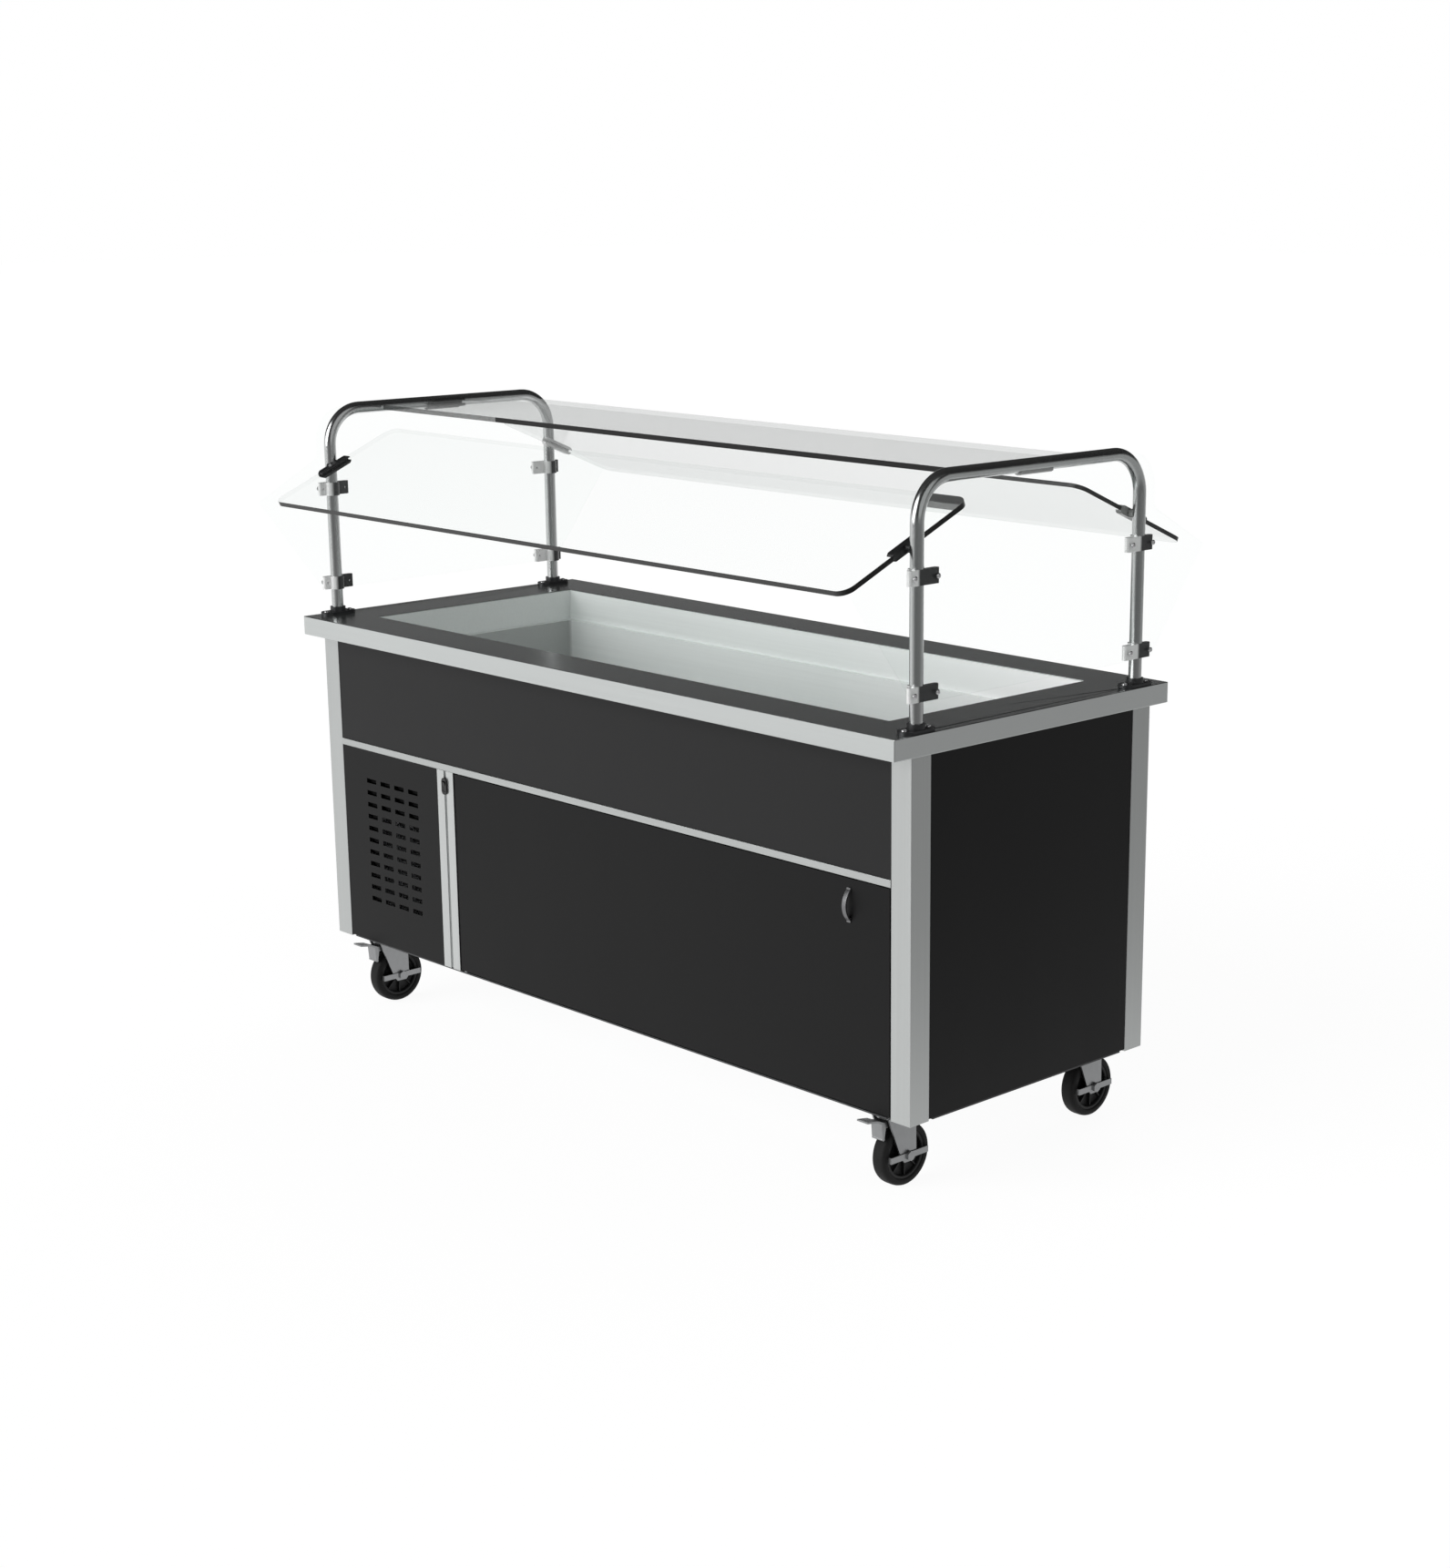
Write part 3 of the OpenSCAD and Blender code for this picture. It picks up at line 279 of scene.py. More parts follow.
pale = Finish("pale_floor")
mirrored = ray_is(pale, "Glossy")
watched = (is_seen(pale) + mirrored).clamped()
floor_x, floor_y = pale.along(pale.place(), X), pale.along(pale.place(), Y)
to_the_right = floor_x.ramp(0.6, 0.7)
to_the_camera = (floor_x - floor_y).ramp(2.4, 0.5)
dimmed = (1 - to_the_right * RIGHT_DIM) * (1 - to_the_camera * CAMERA_DIM)
glow = FLOOR_GLOW * watched * (1 - mirrored * (1 - dimmed))
shine = pale.node("Emission", {}, {"Color": pale.blend(glow, rgb(0.0), rgb(1.0))})
matt_seen = pale.node("BsdfDiffuse", {}, {"Color": rgb(SEEN_GREY)})
matt_unseen = pale.node("BsdfDiffuse", {}, {"Color": rgb(UNSEEN_GREY)})
matt = pale.node("MixShader", {}, {0: watched, 1: matt_unseen, 2: matt_seen})
floor_mesh.materials.append(pale.show(pale.node("AddShader", {}, {0: shine, 1: matt})))
print("floor", FLOOR_HALF * 2, "m")

# %% [markdown]
# ## Brushed stainless steel
# A steel counter is ground with a belt, which leaves fine scratches that all run one way. Noise
# stretched a hundred times along that way looks like them. The scratches change three things a
# little: the colour, how sharp the mirror image is, and the height of the surface. The open tank
# mirrors its own walls, which so dull a finish can't show. So its colour holds painted shade and a
# painted reflection: painted shade on the end walls, most of all below the ledge, and a painted
# reflection that turns it paler towards the right. Its pale grey is partly painted reflection too.

# %% Brushed steel
LENGTHWISE, UPRIGHT = X, Z
STREAK_CONTRAST = 0.08
# Where the tank's painted shade deepens, and where its painted reflection turns it pale.
LEDGE_Z = 0.8195
ABOVE_LEDGE = 0.25
PALE_FROM_X, PALE_SLOPE, PALE_SHARE, PALE_STEEL = 0.1, 1.5, 0.9, 0.99


def brushed(name, colour, grain, rough=0.32, metal=0.9, painted_shade_share=0.0):
    """Steel ground along one axis. With a share of painted shade, faces across it get painted shade,
    mostly below the ledge, and a painted reflection pales it towards the right.
    """
    steel = Finish(name)
    wide, narrow = [160.0] * 3, [1100.0] * 3
    wide[grain], narrow[grain] = 1.5, 9.0
    streaks = steel.noise(wide, 3.0)
    scratches = steel.noise(narrow)
    handled = steel.noise((3.0, 3.0, 3.0))
    worn = streaks * 0.55 + scratches * 0.25 + handled * 0.2
    tint = steel.blend(worn, rgb(colour, 1 - STREAK_CONTRAST), rgb(colour, 1 + STREAK_CONTRAST))
    # Painted shade on faces across the grain, deeper below the ledge; a painted reflection pales the tank
    # towards the right.
    if painted_shade_share:
        facing = steel.node("NewGeometry", {}, {}, "Normal")
        across = abs(steel.along(facing, grain)) + abs(steel.along(facing, Z)) * 0.6
        spot = steel.place()
        below = ABOVE_LEDGE + (steel.along(spot, Z) < LEDGE_Z)
        paler = steel.along(spot, X).ramp(PALE_FROM_X, PALE_SLOPE) * PALE_SHARE
        tint = steel.blend(paler, tint, rgb(PALE_STEEL))
        tint = steel.blend((across * below * painted_shade_share).clamped(), tint, rgb(0.0))
    return steel.metal_or_paint(
        Base_Color=tint,
        Metallic=metal,
        Roughness=rough - 0.07 + worn * 0.14,
        Normal=steel.bump(streaks * 0.5 + scratches * 0.5, 0.00004),
    )


steel_upright = brushed("steel_upright", (0.50, 0.515, 0.51), UPRIGHT)
steel_mullion = brushed("steel_mullion", (0.57, 0.585, 0.58), UPRIGHT)
steel_long = brushed("steel_long", (0.49, 0.505, 0.50), LENGTHWISE)
steel_counter = brushed("steel_counter", (0.57, 0.59, 0.585), LENGTHWISE, 0.24, 0.98)
# The tank's pale grey is partly painted reflection, and it carries the painted shade.
steel_tank = brushed("steel_tank", (0.85, 0.89, 0.875), LENGTHWISE, 0.42, 0.2, painted_shade_share=0.4)
steel_tube = brushed("steel_tube", (0.53, 0.54, 0.54), UPRIGHT, 0.22, 0.97)
steel_pull = brushed("steel_pull", (0.20, 0.20, 0.205), UPRIGHT, 0.40)
print("steels ready")

# %% [markdown]
# ## Plated, cast and painted metal
# Bright zinc on a caster shows faint cloudy patches. Galvanised sheet shows crystals, called
# spangle, which a cell pattern copies well. Powder coat has a skin like an orange's. Each is one
# noise that feeds the colour, the roughness and the bump, at the size that the real one has.


# %% Plated and cast metal
def plated(name, colour, rough=0.30, metal=0.9, patch=60.0, contrast=0.12):
    plate = Finish(name)
    patches = plate.noise((patch,) * 3, 3.0)
    grain = plate.noise((1500.0,) * 3, 1.0)
    return plate.metal_or_paint(
        Base_Color=plate.blend(patches, rgb(colour, 1 - contrast), rgb(colour, 1 + contrast)),
        Metallic=metal,
        Roughness=rough - 0.05 + patches * 0.10,
        Normal=plate.bump(grain, 0.00003, 0.35),
    )


zinc = plated("zinc_plate", (0.30, 0.305, 0.31), 0.34)
bright_screw = plated("screw_plate", (0.75, 0.75, 0.76), 0.24)
cast_dark = plated("cast_foot", (0.035, 0.036, 0.038), 0.40, 0.5, 220.0, 0.2)
brass = plated("dull_brass", (0.62, 0.46, 0.19), 0.32, 1.0, 90.0)
copper = plated("dull_copper", (0.62, 0.28, 0.16), 0.30, 1.0, 25.0, 0.25)
fin_metal = plated("fin_aluminium", (0.68, 0.69, 0.70), 0.42, 0.9, 30.0)
print("plated metals ready")


# %% [markdown]
# ## Clamps and brackets
# Small polished pieces mirror whatever is beside them: the ones on a post are bright on one side
# of it and dark on the other. The lamps here are too soft and even for that, so the colour changes
# with the place: the bright and dark halves are a painted reflection. This was matched to the
# photograph, and from other sides it is a guess.

# %% Clamps with a painted reflection: bright on one side of their post and dark on the other
POST_Y = 0.3023
DARK_FROM, DARK_SLOPE = -0.011, 160
BRACKET_LEFT_GREY = 0.9
CAST_PATCH = (220.0,) * 3


def with_painted_reflection(name, bright, dark, dark_in_front=False):
    """Metal with a painted reflection: bright left of its post and dark right of it, as the camera sees
    it.

    With dark_in_front the painted reflection is all dark at the front posts and all pale at the left rear
    one.
    """
    clamp = Finish(name)
    y = clamp.along(clamp.place(), Y)
    past_post = abs(y) - POST_Y
    to_the_right = past_post * (1 - (y < 0) * 2)
    share = to_the_right.ramp(DARK_FROM, DARK_SLOPE)
    bright = rgb(bright)
    if dark_in_front:
        on_the_left = clamp.along(clamp.place(), X) < 0
        share = (share * (1 - on_the_left) + (y < 0)).clamped()
        bright = clamp.blend(on_the_left, bright, rgb(BRACKET_LEFT_GREY))
    patches = clamp.noise(CAST_PATCH, 3.0)
    return clamp.metal_or_paint(
        # The bright and dark halves are a painted reflection; the patches are cast tone.
        Base_Color=clamp.blend((share + patches * 0.1).clamped(), bright, rgb(dark)),
        Metallic=0.25,
        Roughness=0.24 + patches * 0.1,
    )


def top_clamp(name, right_grey, left_grey):
    """Painted reflection: the clamp under the left arch is painted with the dark of the room, and the
    right one with the pale floor.
    """
    clamp = Finish(name)
    on_the_left = clamp.along(clamp.place(), X) < 0
    patches = clamp.noise(CAST_PATCH, 3.0)
    return clamp.metal_or_paint(
        Base_Color=clamp.blend(on_the_left, rgb(right_grey), rgb(left_grey)),
        Metallic=0.6,
        Roughness=0.34 + patches * 0.1,
    )


clamp_metal = with_painted_reflection("clamp_metal", (0.98, 0.985, 0.98), (0.045, 0.046, 0.047))
bracket_metal = with_painted_reflection("bracket_metal", (0.32, 0.325, 0.32), (0.022, 0.023, 0.024), dark_in_front=True)
# Painted reflection: dark grey for the left arch's top clamp, pale grey for the right one.
top_clamp_metal = top_clamp("top_clamp_metal", 0.42, 0.035)
print("clamp and bracket metal ready")


# %% Galvanised sheet
SPANGLE_DARK, SPANGLE_PALE = (0.36, 0.38, 0.40), (0.60, 0.62, 0.64)


def galvanised(name):
    sheet = Finish(name)
    crystal = sheet.along(sheet.cells(0.018, output="Color"), X)
    haze = sheet.noise((5.0, 5.0, 5.0))
    worn = crystal * 0.7 + haze * 0.3
    return sheet.metal_or_paint(
        Base_Color=sheet.blend(worn, rgb(SPANGLE_DARK), rgb(SPANGLE_PALE)),
        Metallic=0.8,
        Roughness=0.36 + crystal * 0.16,
        Normal=sheet.bump(crystal, 0.00002, 0.3),
    )


spangled_sheet = galvanised("spangled_sheet")
print("galvanised sheet ready")


# %% Paint and moulded plastic
def coated(name, colour, rough=0.45, skin=420.0, depth=0.00006, gloss=0.4, dust=0.35):
    """Powder coat or moulded plastic: a fine skin, and a trace of dust in broad patches."""
    coat = Finish(name)
    peel = coat.noise((skin,) * 3)
    patches = coat.noise((6.0, 6.0, 9.0), 4.0)
    return coat.metal_or_paint(
        Base_Color=coat.blend(patches, rgb(colour), rgb(colour, 1 + dust, 0.002)),
        Roughness=rough - 0.05 + patches * 0.08 + peel * 0.04,
        Specular_IOR_Level=gloss,
        Normal=coat.bump(peel, depth),
    )


black_paint = coated("black_powder_coat", (0.006, 0.006, 0.0062), 0.46, gloss=0.16)
frame_paint = coated("grey_powder_coat", (0.055, 0.056, 0.058), 0.5)
motor_paint = coated("grey_enamel", (0.16, 0.165, 0.17), 0.4)
pot_paint = coated("black_enamel", (0.012, 0.012, 0.012), 0.28, 300.0, 0.00004, 0.5)
black_plastic = coated("black_plastic", (0.010, 0.010, 0.010), 0.42, 1600.0, 0.00003)
lever_vinyl = coated("red_vinyl", (0.42, 0.02, 0.015), 0.38, 800.0, 0.00003, 0.5)
foam_core = coated("pale_foam", (0.66, 0.58, 0.32), 0.85, 260.0, 0.0003, 0.2)
tyre_rubber = coated("tyre_rubber", (0.007, 0.007, 0.007), 0.62, 900.0, 0.00008, 0.22, 0.8)
wheel_nylon = coated("wheel_nylon", (0.010, 0.010, 0.0105), 0.48, 500.0, 0.00005, 0.3, 0.5)
print("paints and plastics ready")

# %% [markdown]
# ## Black laminate
# The large black panels are boards under a sheet of matt laminate. Up close it has a fine
# pebbled grain, and from afar its surface waves very slightly, which is what keeps a big dark
# panel from looking like a hole.


# %% Laminate
def laminate(name, colour, gloss):
    board = Finish(name)
    pebble = board.cells(0.0011, "SMOOTH_F1")
    cloth = board.noise((260.0, 260.0, 900.0))
    waves = board.noise((2.2, 2.2, 1.4), 1.0)
    smears = board.noise((9.0, 9.0, 3.0), 4.0)
    return board.metal_or_paint(
        Base_Color=board.blend(smears * 0.5 + cloth * 0.5, rgb(colour, 0.84), rgb(colour, 1.18)),
        Roughness=0.40 + smears * 0.10 + pebble * 0.05,
        Specular_IOR_Level=gloss,
        Normal=board.bump(pebble * 0.35 + cloth * 0.25 + waves * 6, 0.00012, 0.6),
    )


black_laminate = laminate("black_laminate", (0.0115, 0.0115, 0.012), 0.24)
door_laminate = laminate("door_laminate", (0.0070, 0.0070, 0.0073), 0.15)
end_laminate = laminate("end_laminate", (0.0088, 0.0088, 0.0091), 0.19)
print("laminate ready")

# %% [markdown]
# ## Clear acrylic
# A clear sheet is seen by its edges. Light that enters a cut edge is trapped and carried off, so
# the edges that face the camera look almost black, and those that face away stay pale. Here that
# dark is painted shade: cut edges that face the front and the right are coloured dark. The faces
# show only a faint grey where they are seen at a low angle. Full refraction would give a sheet dark
# shadows, so the faces are a see-through shader under a thin haze, and the dark edges a glossy one.
# An edge is found by comparing a surface's direction with that of the sheet. The top's edges are
# painted black, and the painted shade is paler at its left end. The front guard's long edge is a
# painted dark grey and the rear guard's edges are a paler one. The front guard has a grey strip in
# its upper right end, which is a painted reflection.


# %% Acrylic
# The side whose cut edges get painted shade, and the painted edge grey.
EDGE_SIDE = (0.7, -0.7, 0.0)
BLACK_EDGE, EDGE_RANGE = 0.003, 0.008
# Where the front guard's painted reflection strip lies, and how dark it is.
STRIP_X, STRIP_Y, STRIP_REFLECTION = 0.766, -0.1757, 0.75
# Where the painted shade on the top's edges turns paler.
PALE_UNTIL_X, PALE_CUT = -0.47, 0.3


def acrylic(name, sheet_normal, painted_dark_edges=True, painted_reflection_strip=False, pale_left=False,
            front_grey=BLACK_EDGE, right_grey=BLACK_EDGE):
    """A clear sheet, with one painted-shade grey for the cut edges that face the front and one for the
    right.
    """
    clear = Finish(name)
    direction = clear.node("NewGeometry", {}, {}, "Normal")
    from_inside = clear.node("NewGeometry", {}, {}, "Backfacing")

    def in_line_with(way):
        return clear.node("VectorMath", {"operation": "DOT_PRODUCT"}, {0: direction, 1: way}, "Value")

    is_edge = abs(in_line_with(sheet_normal)) < 0.6
    slant = clear.node("LayerWeight", {}, {"Blend": 0.5}, "Facing")
    see_through = clear.node("BsdfTransparent", {}, {"Color": rgb((0.992, 0.997, 0.995))})
    hazy = clear.node("BsdfPrincipled", {}, {
        "Base Color": rgb((0.52, 0.54, 0.535)), "Roughness": 0.14, "Specular IOR Level": 0.3})
    on_face = slant ** 9 * 0.82 + 0.003
    on_pale_edge = slant ** 3 * 0.3 + 0.06 if painted_dark_edges else slant ** 3 * 0.08 + 0.01
    on_sheet = on_face * (1 - is_edge) + on_pale_edge * is_edge
    sheet = clear.node("MixShader", {}, {0: on_sheet, 1: see_through, 2: hazy})
    if not painted_dark_edges:
        return clear.show(sheet)
    saw_marks = clear.noise((300.0,) * 3)
    faces_right = abs(in_line_with((1, 0, 0)))
    least = clear.blend(faces_right, rgb(front_grey), rgb(right_grey))
    most = clear.blend(faces_right, rgb(front_grey, 1, EDGE_RANGE), rgb(right_grey, 1, EDGE_RANGE))
    cut = clear.node("BsdfPrincipled", {}, {
        "Base Color": clear.blend(saw_marks, least, most),
        "Roughness": 0.3, "Specular IOR Level": 0.25})
    # Painted shade: cut edges that face the front and the right, seen from outside, take the dark grey.
    is_dark = is_edge * (1 - from_inside) * (1 - (in_line_with(EDGE_SIDE) < 0.3))
    spot = clear.place()
    x, y = clear.along(spot, X), clear.along(spot, Y)
    # The painted shade on the top's edges is paler at the left end.
    if pale_left:
        is_dark = is_dark * (1 - (x < PALE_UNTIL_X) * PALE_CUT)
    # A grey strip painted in the front guard's upper right end: a painted reflection.
    if painted_reflection_strip:
        is_dark = (is_dark + (1 - (x < STRIP_X)) * (1 - (y < STRIP_Y)) * STRIP_REFLECTION).clamped()
    return clear.show(clear.node("MixShader", {}, {0: is_dark, 1: sheet, 2: cut}))


GUARD_HIGH_Y, GUARD_HIGH_Z = 0.1510, 1.2825
GUARD_LOW_Y, GUARD_LOW_Z = 0.4595, 1.1495
GUARD_SLOPE = math.atan2(GUARD_HIGH_Z - GUARD_LOW_Z, GUARD_LOW_Y - GUARD_HIGH_Y)
LEAN_Y, LEAN_Z = math.sin(GUARD_SLOPE), math.cos(GUARD_SLOPE)
# The painted-shade greys of each sheet's cut edges.
acrylic_top = acrylic("acrylic_top", (0, 0, 1), pale_left=True)
acrylic_front = acrylic("acrylic_front", (0, -LEAN_Y, LEAN_Z), painted_reflection_strip=True, front_grey=0.045)
acrylic_rear = acrylic("acrylic_rear", (0, LEAN_Y, LEAN_Z), front_grey=0.07, right_grey=0.04)
acrylic_end = acrylic("acrylic_end", (1, 0, 0), painted_dark_edges=False)
print("guards lean", round(math.degrees(GUARD_SLOPE), 1), "degrees")

# %% [markdown]
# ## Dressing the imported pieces
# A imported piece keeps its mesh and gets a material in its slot. Its edges are as sharp as a
# drawing's, and real edges never are: each catches a thin line of light. A Bevel modifier rounds
# them without touching the mesh, after a Weld joins the points that the file repeats at every
# corner. It works only where faces meet at more than its angle, so flat faces and tubes stay
# as they are. The rear panel is left sharp: rounded, its vents' shading ran in lines across it.

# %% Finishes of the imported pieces
FINISHES = {
    "countertop": steel_counter,
    "well_tank": steel_tank, "drain_strainer": steel_tank, "drain_pipe": steel_tank,
    "corner_posts": steel_upright, "mullion": steel_mullion, "trim_strip": steel_long,
    "well_casing": spangled_sheet, "header_rails": spangled_sheet, "cabinet_floor": spangled_sheet,
    "bulkhead": spangled_sheet, "unit_base": spangled_sheet,
    "well_insulation": foam_core,
    "evaporator_coil": copper, "refrigerant_lines": copper,
    "drain_valve": brass, "valve_lever": lever_vinyl,
    "base_frame": frame_paint, "fan_shroud": frame_paint,
    "apron_front": black_laminate, "rear_panel": black_laminate, "door_panel": door_laminate,
    "end_panel_left": end_laminate, "end_panel_right": end_laminate,
    "louvre_panel": black_paint, "compressor": pot_paint,
    "switch_housing": black_plastic, "switch_rocker": black_plastic, "cord_gland": black_plastic,
    "fan_blade": black_plastic, "control_box": black_plastic, "door_catch": black_plastic,
    "condenser": fin_metal, "fan_motor": motor_paint,
    "door_pivots": zinc, "catch_plate": zinc, "caster_plates": zinc,
    "door_handle": steel_pull,
    "arch_left": steel_tube, "arch_right": steel_tube,
    "arch_feet": cast_dark, "guard_brackets": bracket_metal, "end_clamps": clamp_metal,
    "top_clamps": top_clamp_metal,
    "top_panel": acrylic_top, "front_guard": acrylic_front, "rear_guard": acrylic_rear,
    "end_guard_left": acrylic_end, "end_guard_right": acrylic_end,
}
CORNERS = {"front_left": (LEFT, FRONT), "front_right": (RIGHT, FRONT),
           "rear_left": (LEFT, BACK), "rear_right": (RIGHT, BACK)}
for corner in CORNERS:
    FINISHES["fork_" + corner] = zinc
    if "front" in corner:
        FINISHES["pedal_" + corner] = zinc

for name, material in FINISHES.items():
    for place in NODES[name].material_slots:
        place.material = material
print("dressed", len(FINISHES), "of", len(NODES))

# %% Soft edges
EDGE_MM = {
    "countertop": 1.2, "corner_posts": 0.8, "mullion": 0.6, "trim_strip": 0.6,
    "apron_front": 0.8, "door_panel": 1.0, "end_panel_left": 0.8,
    "end_panel_right": 0.8, "door_handle": 0.8, "arch_feet": 0.8, "guard_brackets": 0.6,
    "end_clamps": 0.5, "top_clamps": 0.6, "top_panel": 0.5, "front_guard": 0.5, "rear_guard": 0.5,
    "end_guard_left": 0.5, "end_guard_right": 0.5, "switch_housing": 0.5, "switch_rocker": 0.4,
}
for corner in CORNERS:
    EDGE_MM["fork_" + corner] = 0.5
WELD_GAP = 1e-5
CREASE = math.radians(35)


def soften(name, width_mm):
    piece = NODES[name]
    join = piece.modifiers.new("join corners", "WELD")
    join.merge_threshold = WELD_GAP
    edge = piece.modifiers.new("soft edge", "BEVEL")
    edge.width = width_mm * MM
    edge.segments = 2
    edge.limit_method = "ANGLE"
    edge.angle_limit = CREASE
    edge.use_clamp_overlap = True
    even = piece.modifiers.new("even shading", "WEIGHTED_NORMAL")
    even.keep_sharp = True


for name, width_mm in EDGE_MM.items():
    soften(name, width_mm)
print("softened", len(EDGE_MM))

# %% [markdown]
# ## Thicker sheets
# The cut edges of the three long sheets look thicker in the photograph than the 6 mm of such a
# sheet. A Displace modifier pushes all their faces outward. It comes right after the Weld, so
# the corners move as one and the Bevel rounds what it made.

# %% Thicker sheets
OUTWARD_MM = {"top_panel": 3.6, "front_guard": 3.2, "rear_guard": 1.8}
AFTER_WELD = 1

for name, outward_mm in OUTWARD_MM.items():
    stack = NODES[name].modifiers
    thicker = stack.new("thicker sheet", "DISPLACE")
    thicker.strength = outward_mm * MM
    thicker.mid_level = 0
    stack.move(len(stack) - 1, AFTER_WELD)
print("thickened", list(OUTWARD_MM))

# %% [markdown]
# ## Turned pieces
# Tyres, wheel cores and screw heads are all turned on a lathe or moulded in a round mould. Each
# is an outline of radius and height, spun round an axis. A screw's socket is turned too, but its
# rings are drawn in to a hexagon, so the hexagon joins the round head without any cutting.


# %% Spinning an outline
def ring(shape, radius, height, sides, place, corners=0):
    """One ring of points. With corners, it is drawn in to a polygon of that many corners."""
    points = []
    for i in range(sides):
        angle = 2 * math.pi * i / sides
        reach = radius
        if corners:
            half = math.pi / corners
            reach = radius * math.cos(half) / math.cos(angle % (2 * half) - half)
        spot = Vector((reach * math.cos(angle), reach * math.sin(angle), height))
        points.append(shape.verts.new(place @ spot))
    return points


def spin(shape, outline, place, sides, hollow=False):
    """Spins an outline of (radius, height) or (radius, height, corners) steps.

    A hollow one is closed through its bore, and a solid one by a face at each end.
    """
    rings = [ring(shape, step[0], step[1], sides, place, *step[2:]) for step in outline]
    if hollow:
        rings.append(rings[0])
    else:
        shape.faces.new(rings[0])
        shape.faces.new(rings[-1])
    for low, high in zip(rings, rings[1:]):
        for i in range(sides):
            j = (i + 1) % sides
            shape.faces.new((low[i], low[j], high[j], high[i]))


def bar(shape, low, high, place, edge):
    """A straight bar between two corners, with rounded edges."""
    middle = (Vector(low) + Vector(high)) / 2
    size = Vector(high) - Vector(low)
    turned = place @ Matrix.Translation(middle) @ Matrix.Diagonal((*size, 1))
    made = bmesh.ops.create_cube(shape, size=1, matrix=turned)
    edges = list({e for v in made["verts"] for e in v.link_edges})
    bmesh.ops.bevel(shape, geom=edges, offset=edge, segments=2, affect="EDGES", profile=0.5)


def build(name, shape, material, body, stands_for):
    """Turns a shape into a piece that rides on a body and stands for packed ones."""
    bmesh.ops.recalc_face_normals(shape, faces=shape.faces)
    mesh = bpy.data.meshes.new(name)
    shape.to_mesh(mesh)
    shape.free()
    mesh.materials.append(material)
    mesh.polygons.foreach_set("use_smooth", [True] * len(mesh.polygons))
    mesh.set_sharp_from_angle(angle=CREASE)
    piece = bpy.data.objects.new(name, mesh)
    bpy.context.scene.collection.objects.link(piece)
    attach(piece, body)
    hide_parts(*stands_for)


print("round shapes ready")

# %% [markdown]
# ## Wheels
# A caster wheel is two pieces: a nylon core with a hub, a web, ribs and a rim, and a rubber tyre
# moulded onto the rim. The tyre has a flat tread with soft shoulders, and it bulges a little
# past the rim's sides. The core is hollowed between its ribs to save plastic. Both are the same
# on the two sides, so only one half of each outline is listed.

# %% Tyres and cores
TYRE_HALF_MM = [(48.5, -14.4), (49.6, -15.5), (52.0, -16.0), (56.0, -15.9),
                (58.8, -15.0), (61.0, -12.9), (62.1, -9.8), (62.5, -6.0)]
CORE_HALF_MM = [(6.1, -17.8), (13.6, -17.8), (14.8, -16.6), (15.4, -5.0), (17.4, -4.0),
                (39.5, -4.0), (41.8, -5.2), (42.6, -12.4), (44.0, -13.6), (48.4, -13.6)]
TYRE_SIDES, CORE_SIDES = 96, 64
RIBS = 8
RIB_FROM, RIB_TO, RIB_HALF = 0.0145, 0.0428, 0.0012
RIB_INNER, RIB_OUTER, RIB_EDGE = 0.0035, 0.0110, 0.0004


def both_sides(half_mm):
    """The whole outline in metres, from its lower half in millimetres."""
    other = [(radius, -height) for radius, height in reversed(half_mm)]
    return [(radius * MM, height * MM) for radius, height in half_mm + other]


for corner in CORNERS:
    low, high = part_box("wheel_" + corner)
    hub = Matrix.Translation((Vector(low) + Vector(high)) / 2) @ Matrix.Rotation(math.pi / 2, 4, "Y")
    tyre = bmesh.new()
    spin(tyre, both_sides(TYRE_HALF_MM), hub, TYRE_SIDES, hollow=True)
    build("tyre_" + corner, tyre, tyre_rubber, "wheel_" + corner, ["wheel_" + corner])
    core = bmesh.new()
    spin(core, both_sides(CORE_HALF_MM), hub, CORE_SIDES, hollow=True)
    for i in range(RIBS):
        turn = hub @ Matrix.Rotation(2 * math.pi * i / RIBS, 4, "Z")
        for side in (-1, 1):
            near, far = sorted((side * RIB_INNER, side * RIB_OUTER))
            bar(core, (RIB_FROM, -RIB_HALF, near), (RIB_TO, RIB_HALF, far), turn, RIB_EDGE)
    build("wheel_core_" + corner, core, wheel_nylon, "wheel_" + corner, ["wheel_" + corner])
print("wheels", len(CORNERS))

# %% [markdown]
# ## Screws
# The feet of the arches, the ears of the clamps and the caster plates are held by screws with a
# low dome and a six-sided socket. All of them are one piece, because none ever moves. A size is
# the head's radius, the head's height and the shank's length. The head's outline counts in shares
# of its radius and height, with the number of corners where the socket is.

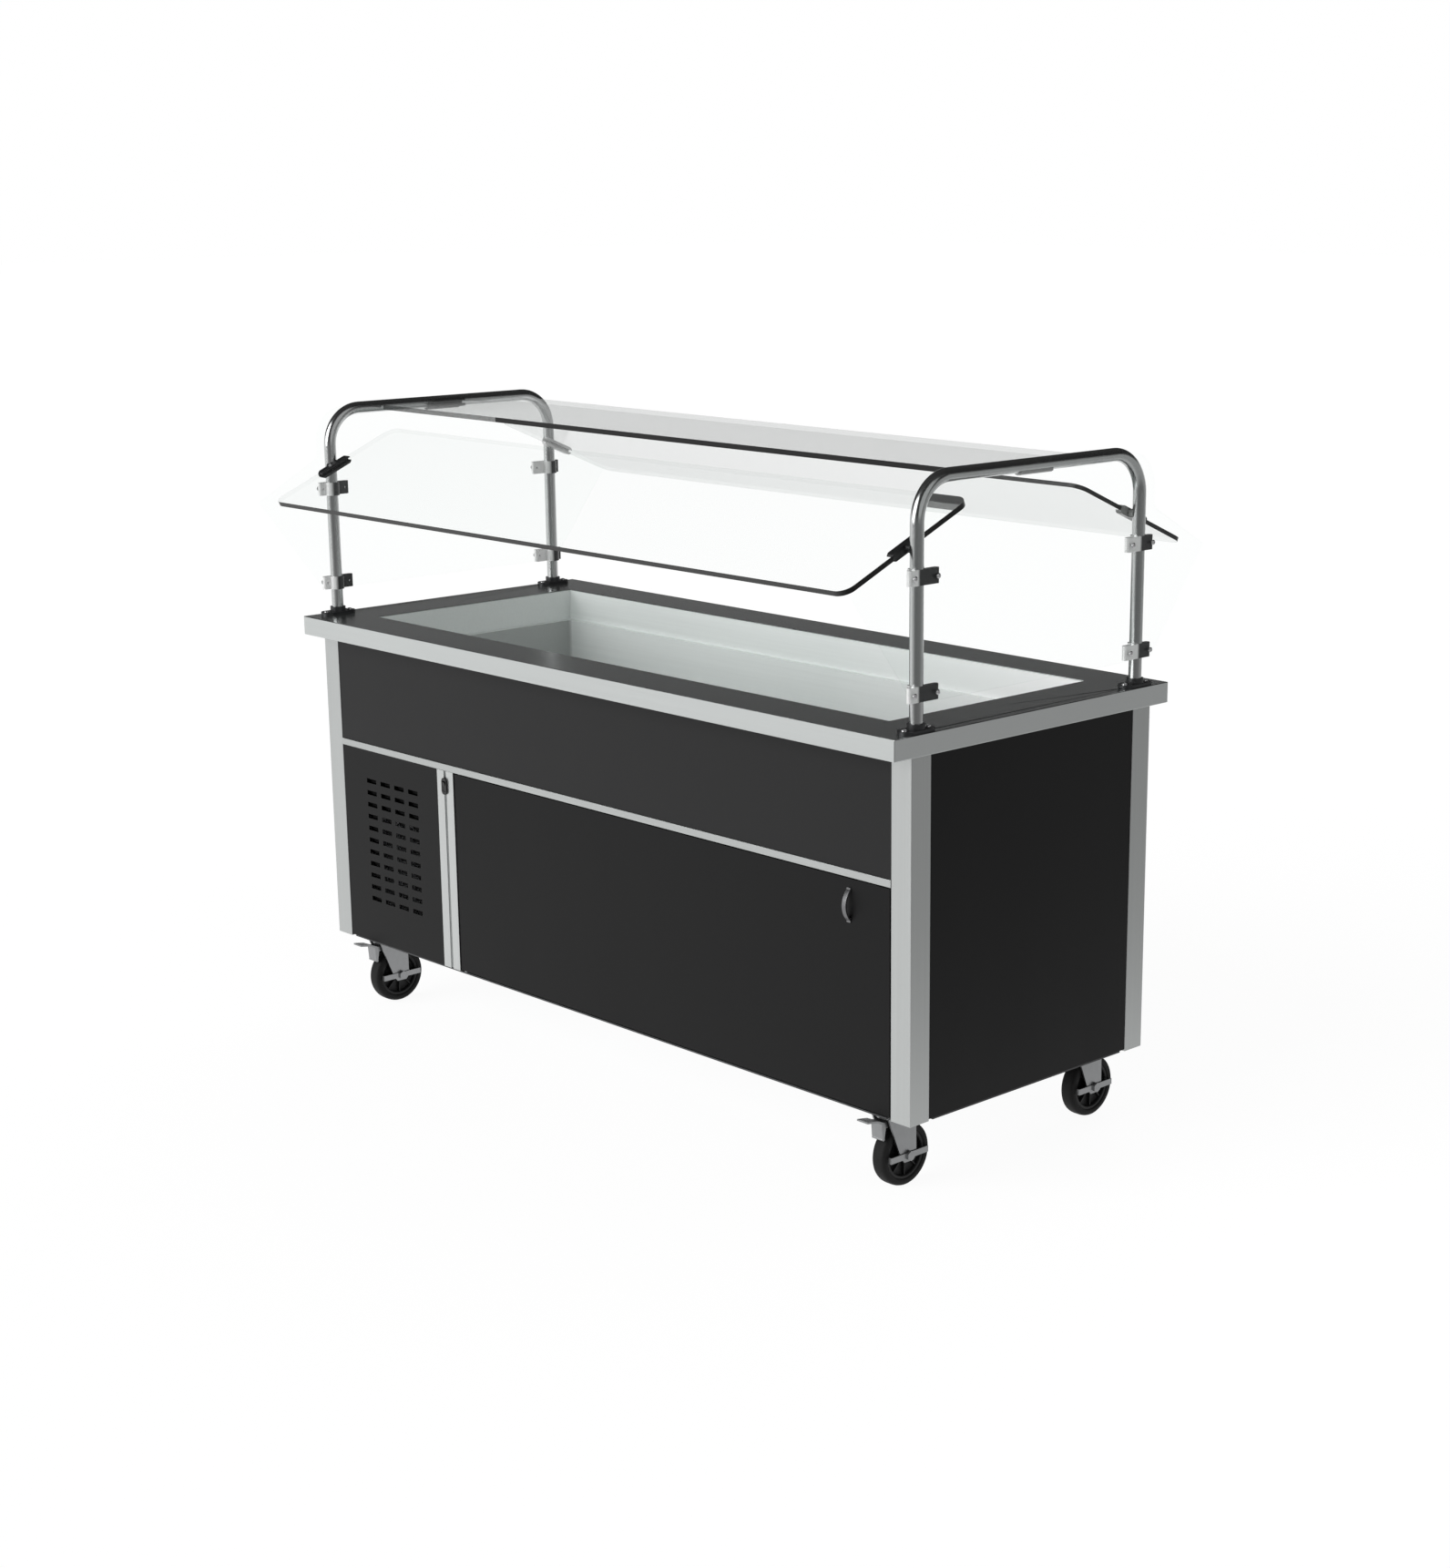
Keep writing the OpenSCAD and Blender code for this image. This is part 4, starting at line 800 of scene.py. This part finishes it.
# %% Screws
SCREW_HEAD = [(1.0, 0.0), (1.0, 0.22), (0.93, 0.5), (0.78, 0.78), (0.56, 0.95), (0.42, 1.0),
              (0.40, 1.0, 6), (0.38, 0.45, 6), (0.05, 0.36, 6)]
SCREW_SIDES = 24
CLAMP_SIZE_MM, FOOT_SIZE_MM, PLATE_SIZE_MM = (5.0, 2.2, 15), (5.5, 3.0, 8), (6.5, 4.0, 10)
ARCH_X, COUNTER_Z, FOOT_T = 0.891, 0.889, 0.006
FOOT_SCREW_DY, CLAMP_SCREW_DY = 0.030, (0.022, -0.036)
CLAMP_HEIGHTS = (0.9585, 1.165)
END_FACE, PLATE_Z = 0.9095, 0.1536
CASTER_X, CASTER_Y, BOLT_DX, BOLT_DY = 0.806, 0.268, 0.039, 0.028
UPWARD, DOWNWARD = (0, 0, 1), (0, 0, -1)

heads = bmesh.new()
places = []


def screw(spot, outward, size_mm):
    """A screw whose head sits on a face and points outward."""
    place = Matrix.Translation(spot) @ Vector(outward).to_track_quat("Z", "X").to_matrix().to_4x4()
    radius, height, shank = (value * MM for value in size_mm)
    outline = [(0.5 * radius, -shank), (0.5 * radius, 0.0)]
    outline += [(step[0] * radius, step[1] * height, *step[2:]) for step in SCREW_HEAD]
    spin(heads, outline, place, SCREW_SIDES)
    places.append(spot)


for side, face in CORNERS.values():
    for out in CLAMP_SCREW_DY:
        for z in CLAMP_HEIGHTS:
            screw((side * END_FACE, face * (POST_Y + out), z), (side, 0, 0), CLAMP_SIZE_MM)
    for step in (-1, 1):
        foot_y = face * POST_Y + step * FOOT_SCREW_DY
        screw((side * ARCH_X, foot_y, COUNTER_Z + FOOT_T), UPWARD, FOOT_SIZE_MM)
        for across in (-1, 1):
            bolt_x, bolt_y = side * CASTER_X + step * BOLT_DX, face * CASTER_Y + across * BOLT_DY
            screw((bolt_x, bolt_y, PLATE_Z), DOWNWARD, PLATE_SIZE_MM)
build("socket_screws", heads, bright_screw, "cart", ["screws"])
print("screws", len(places))
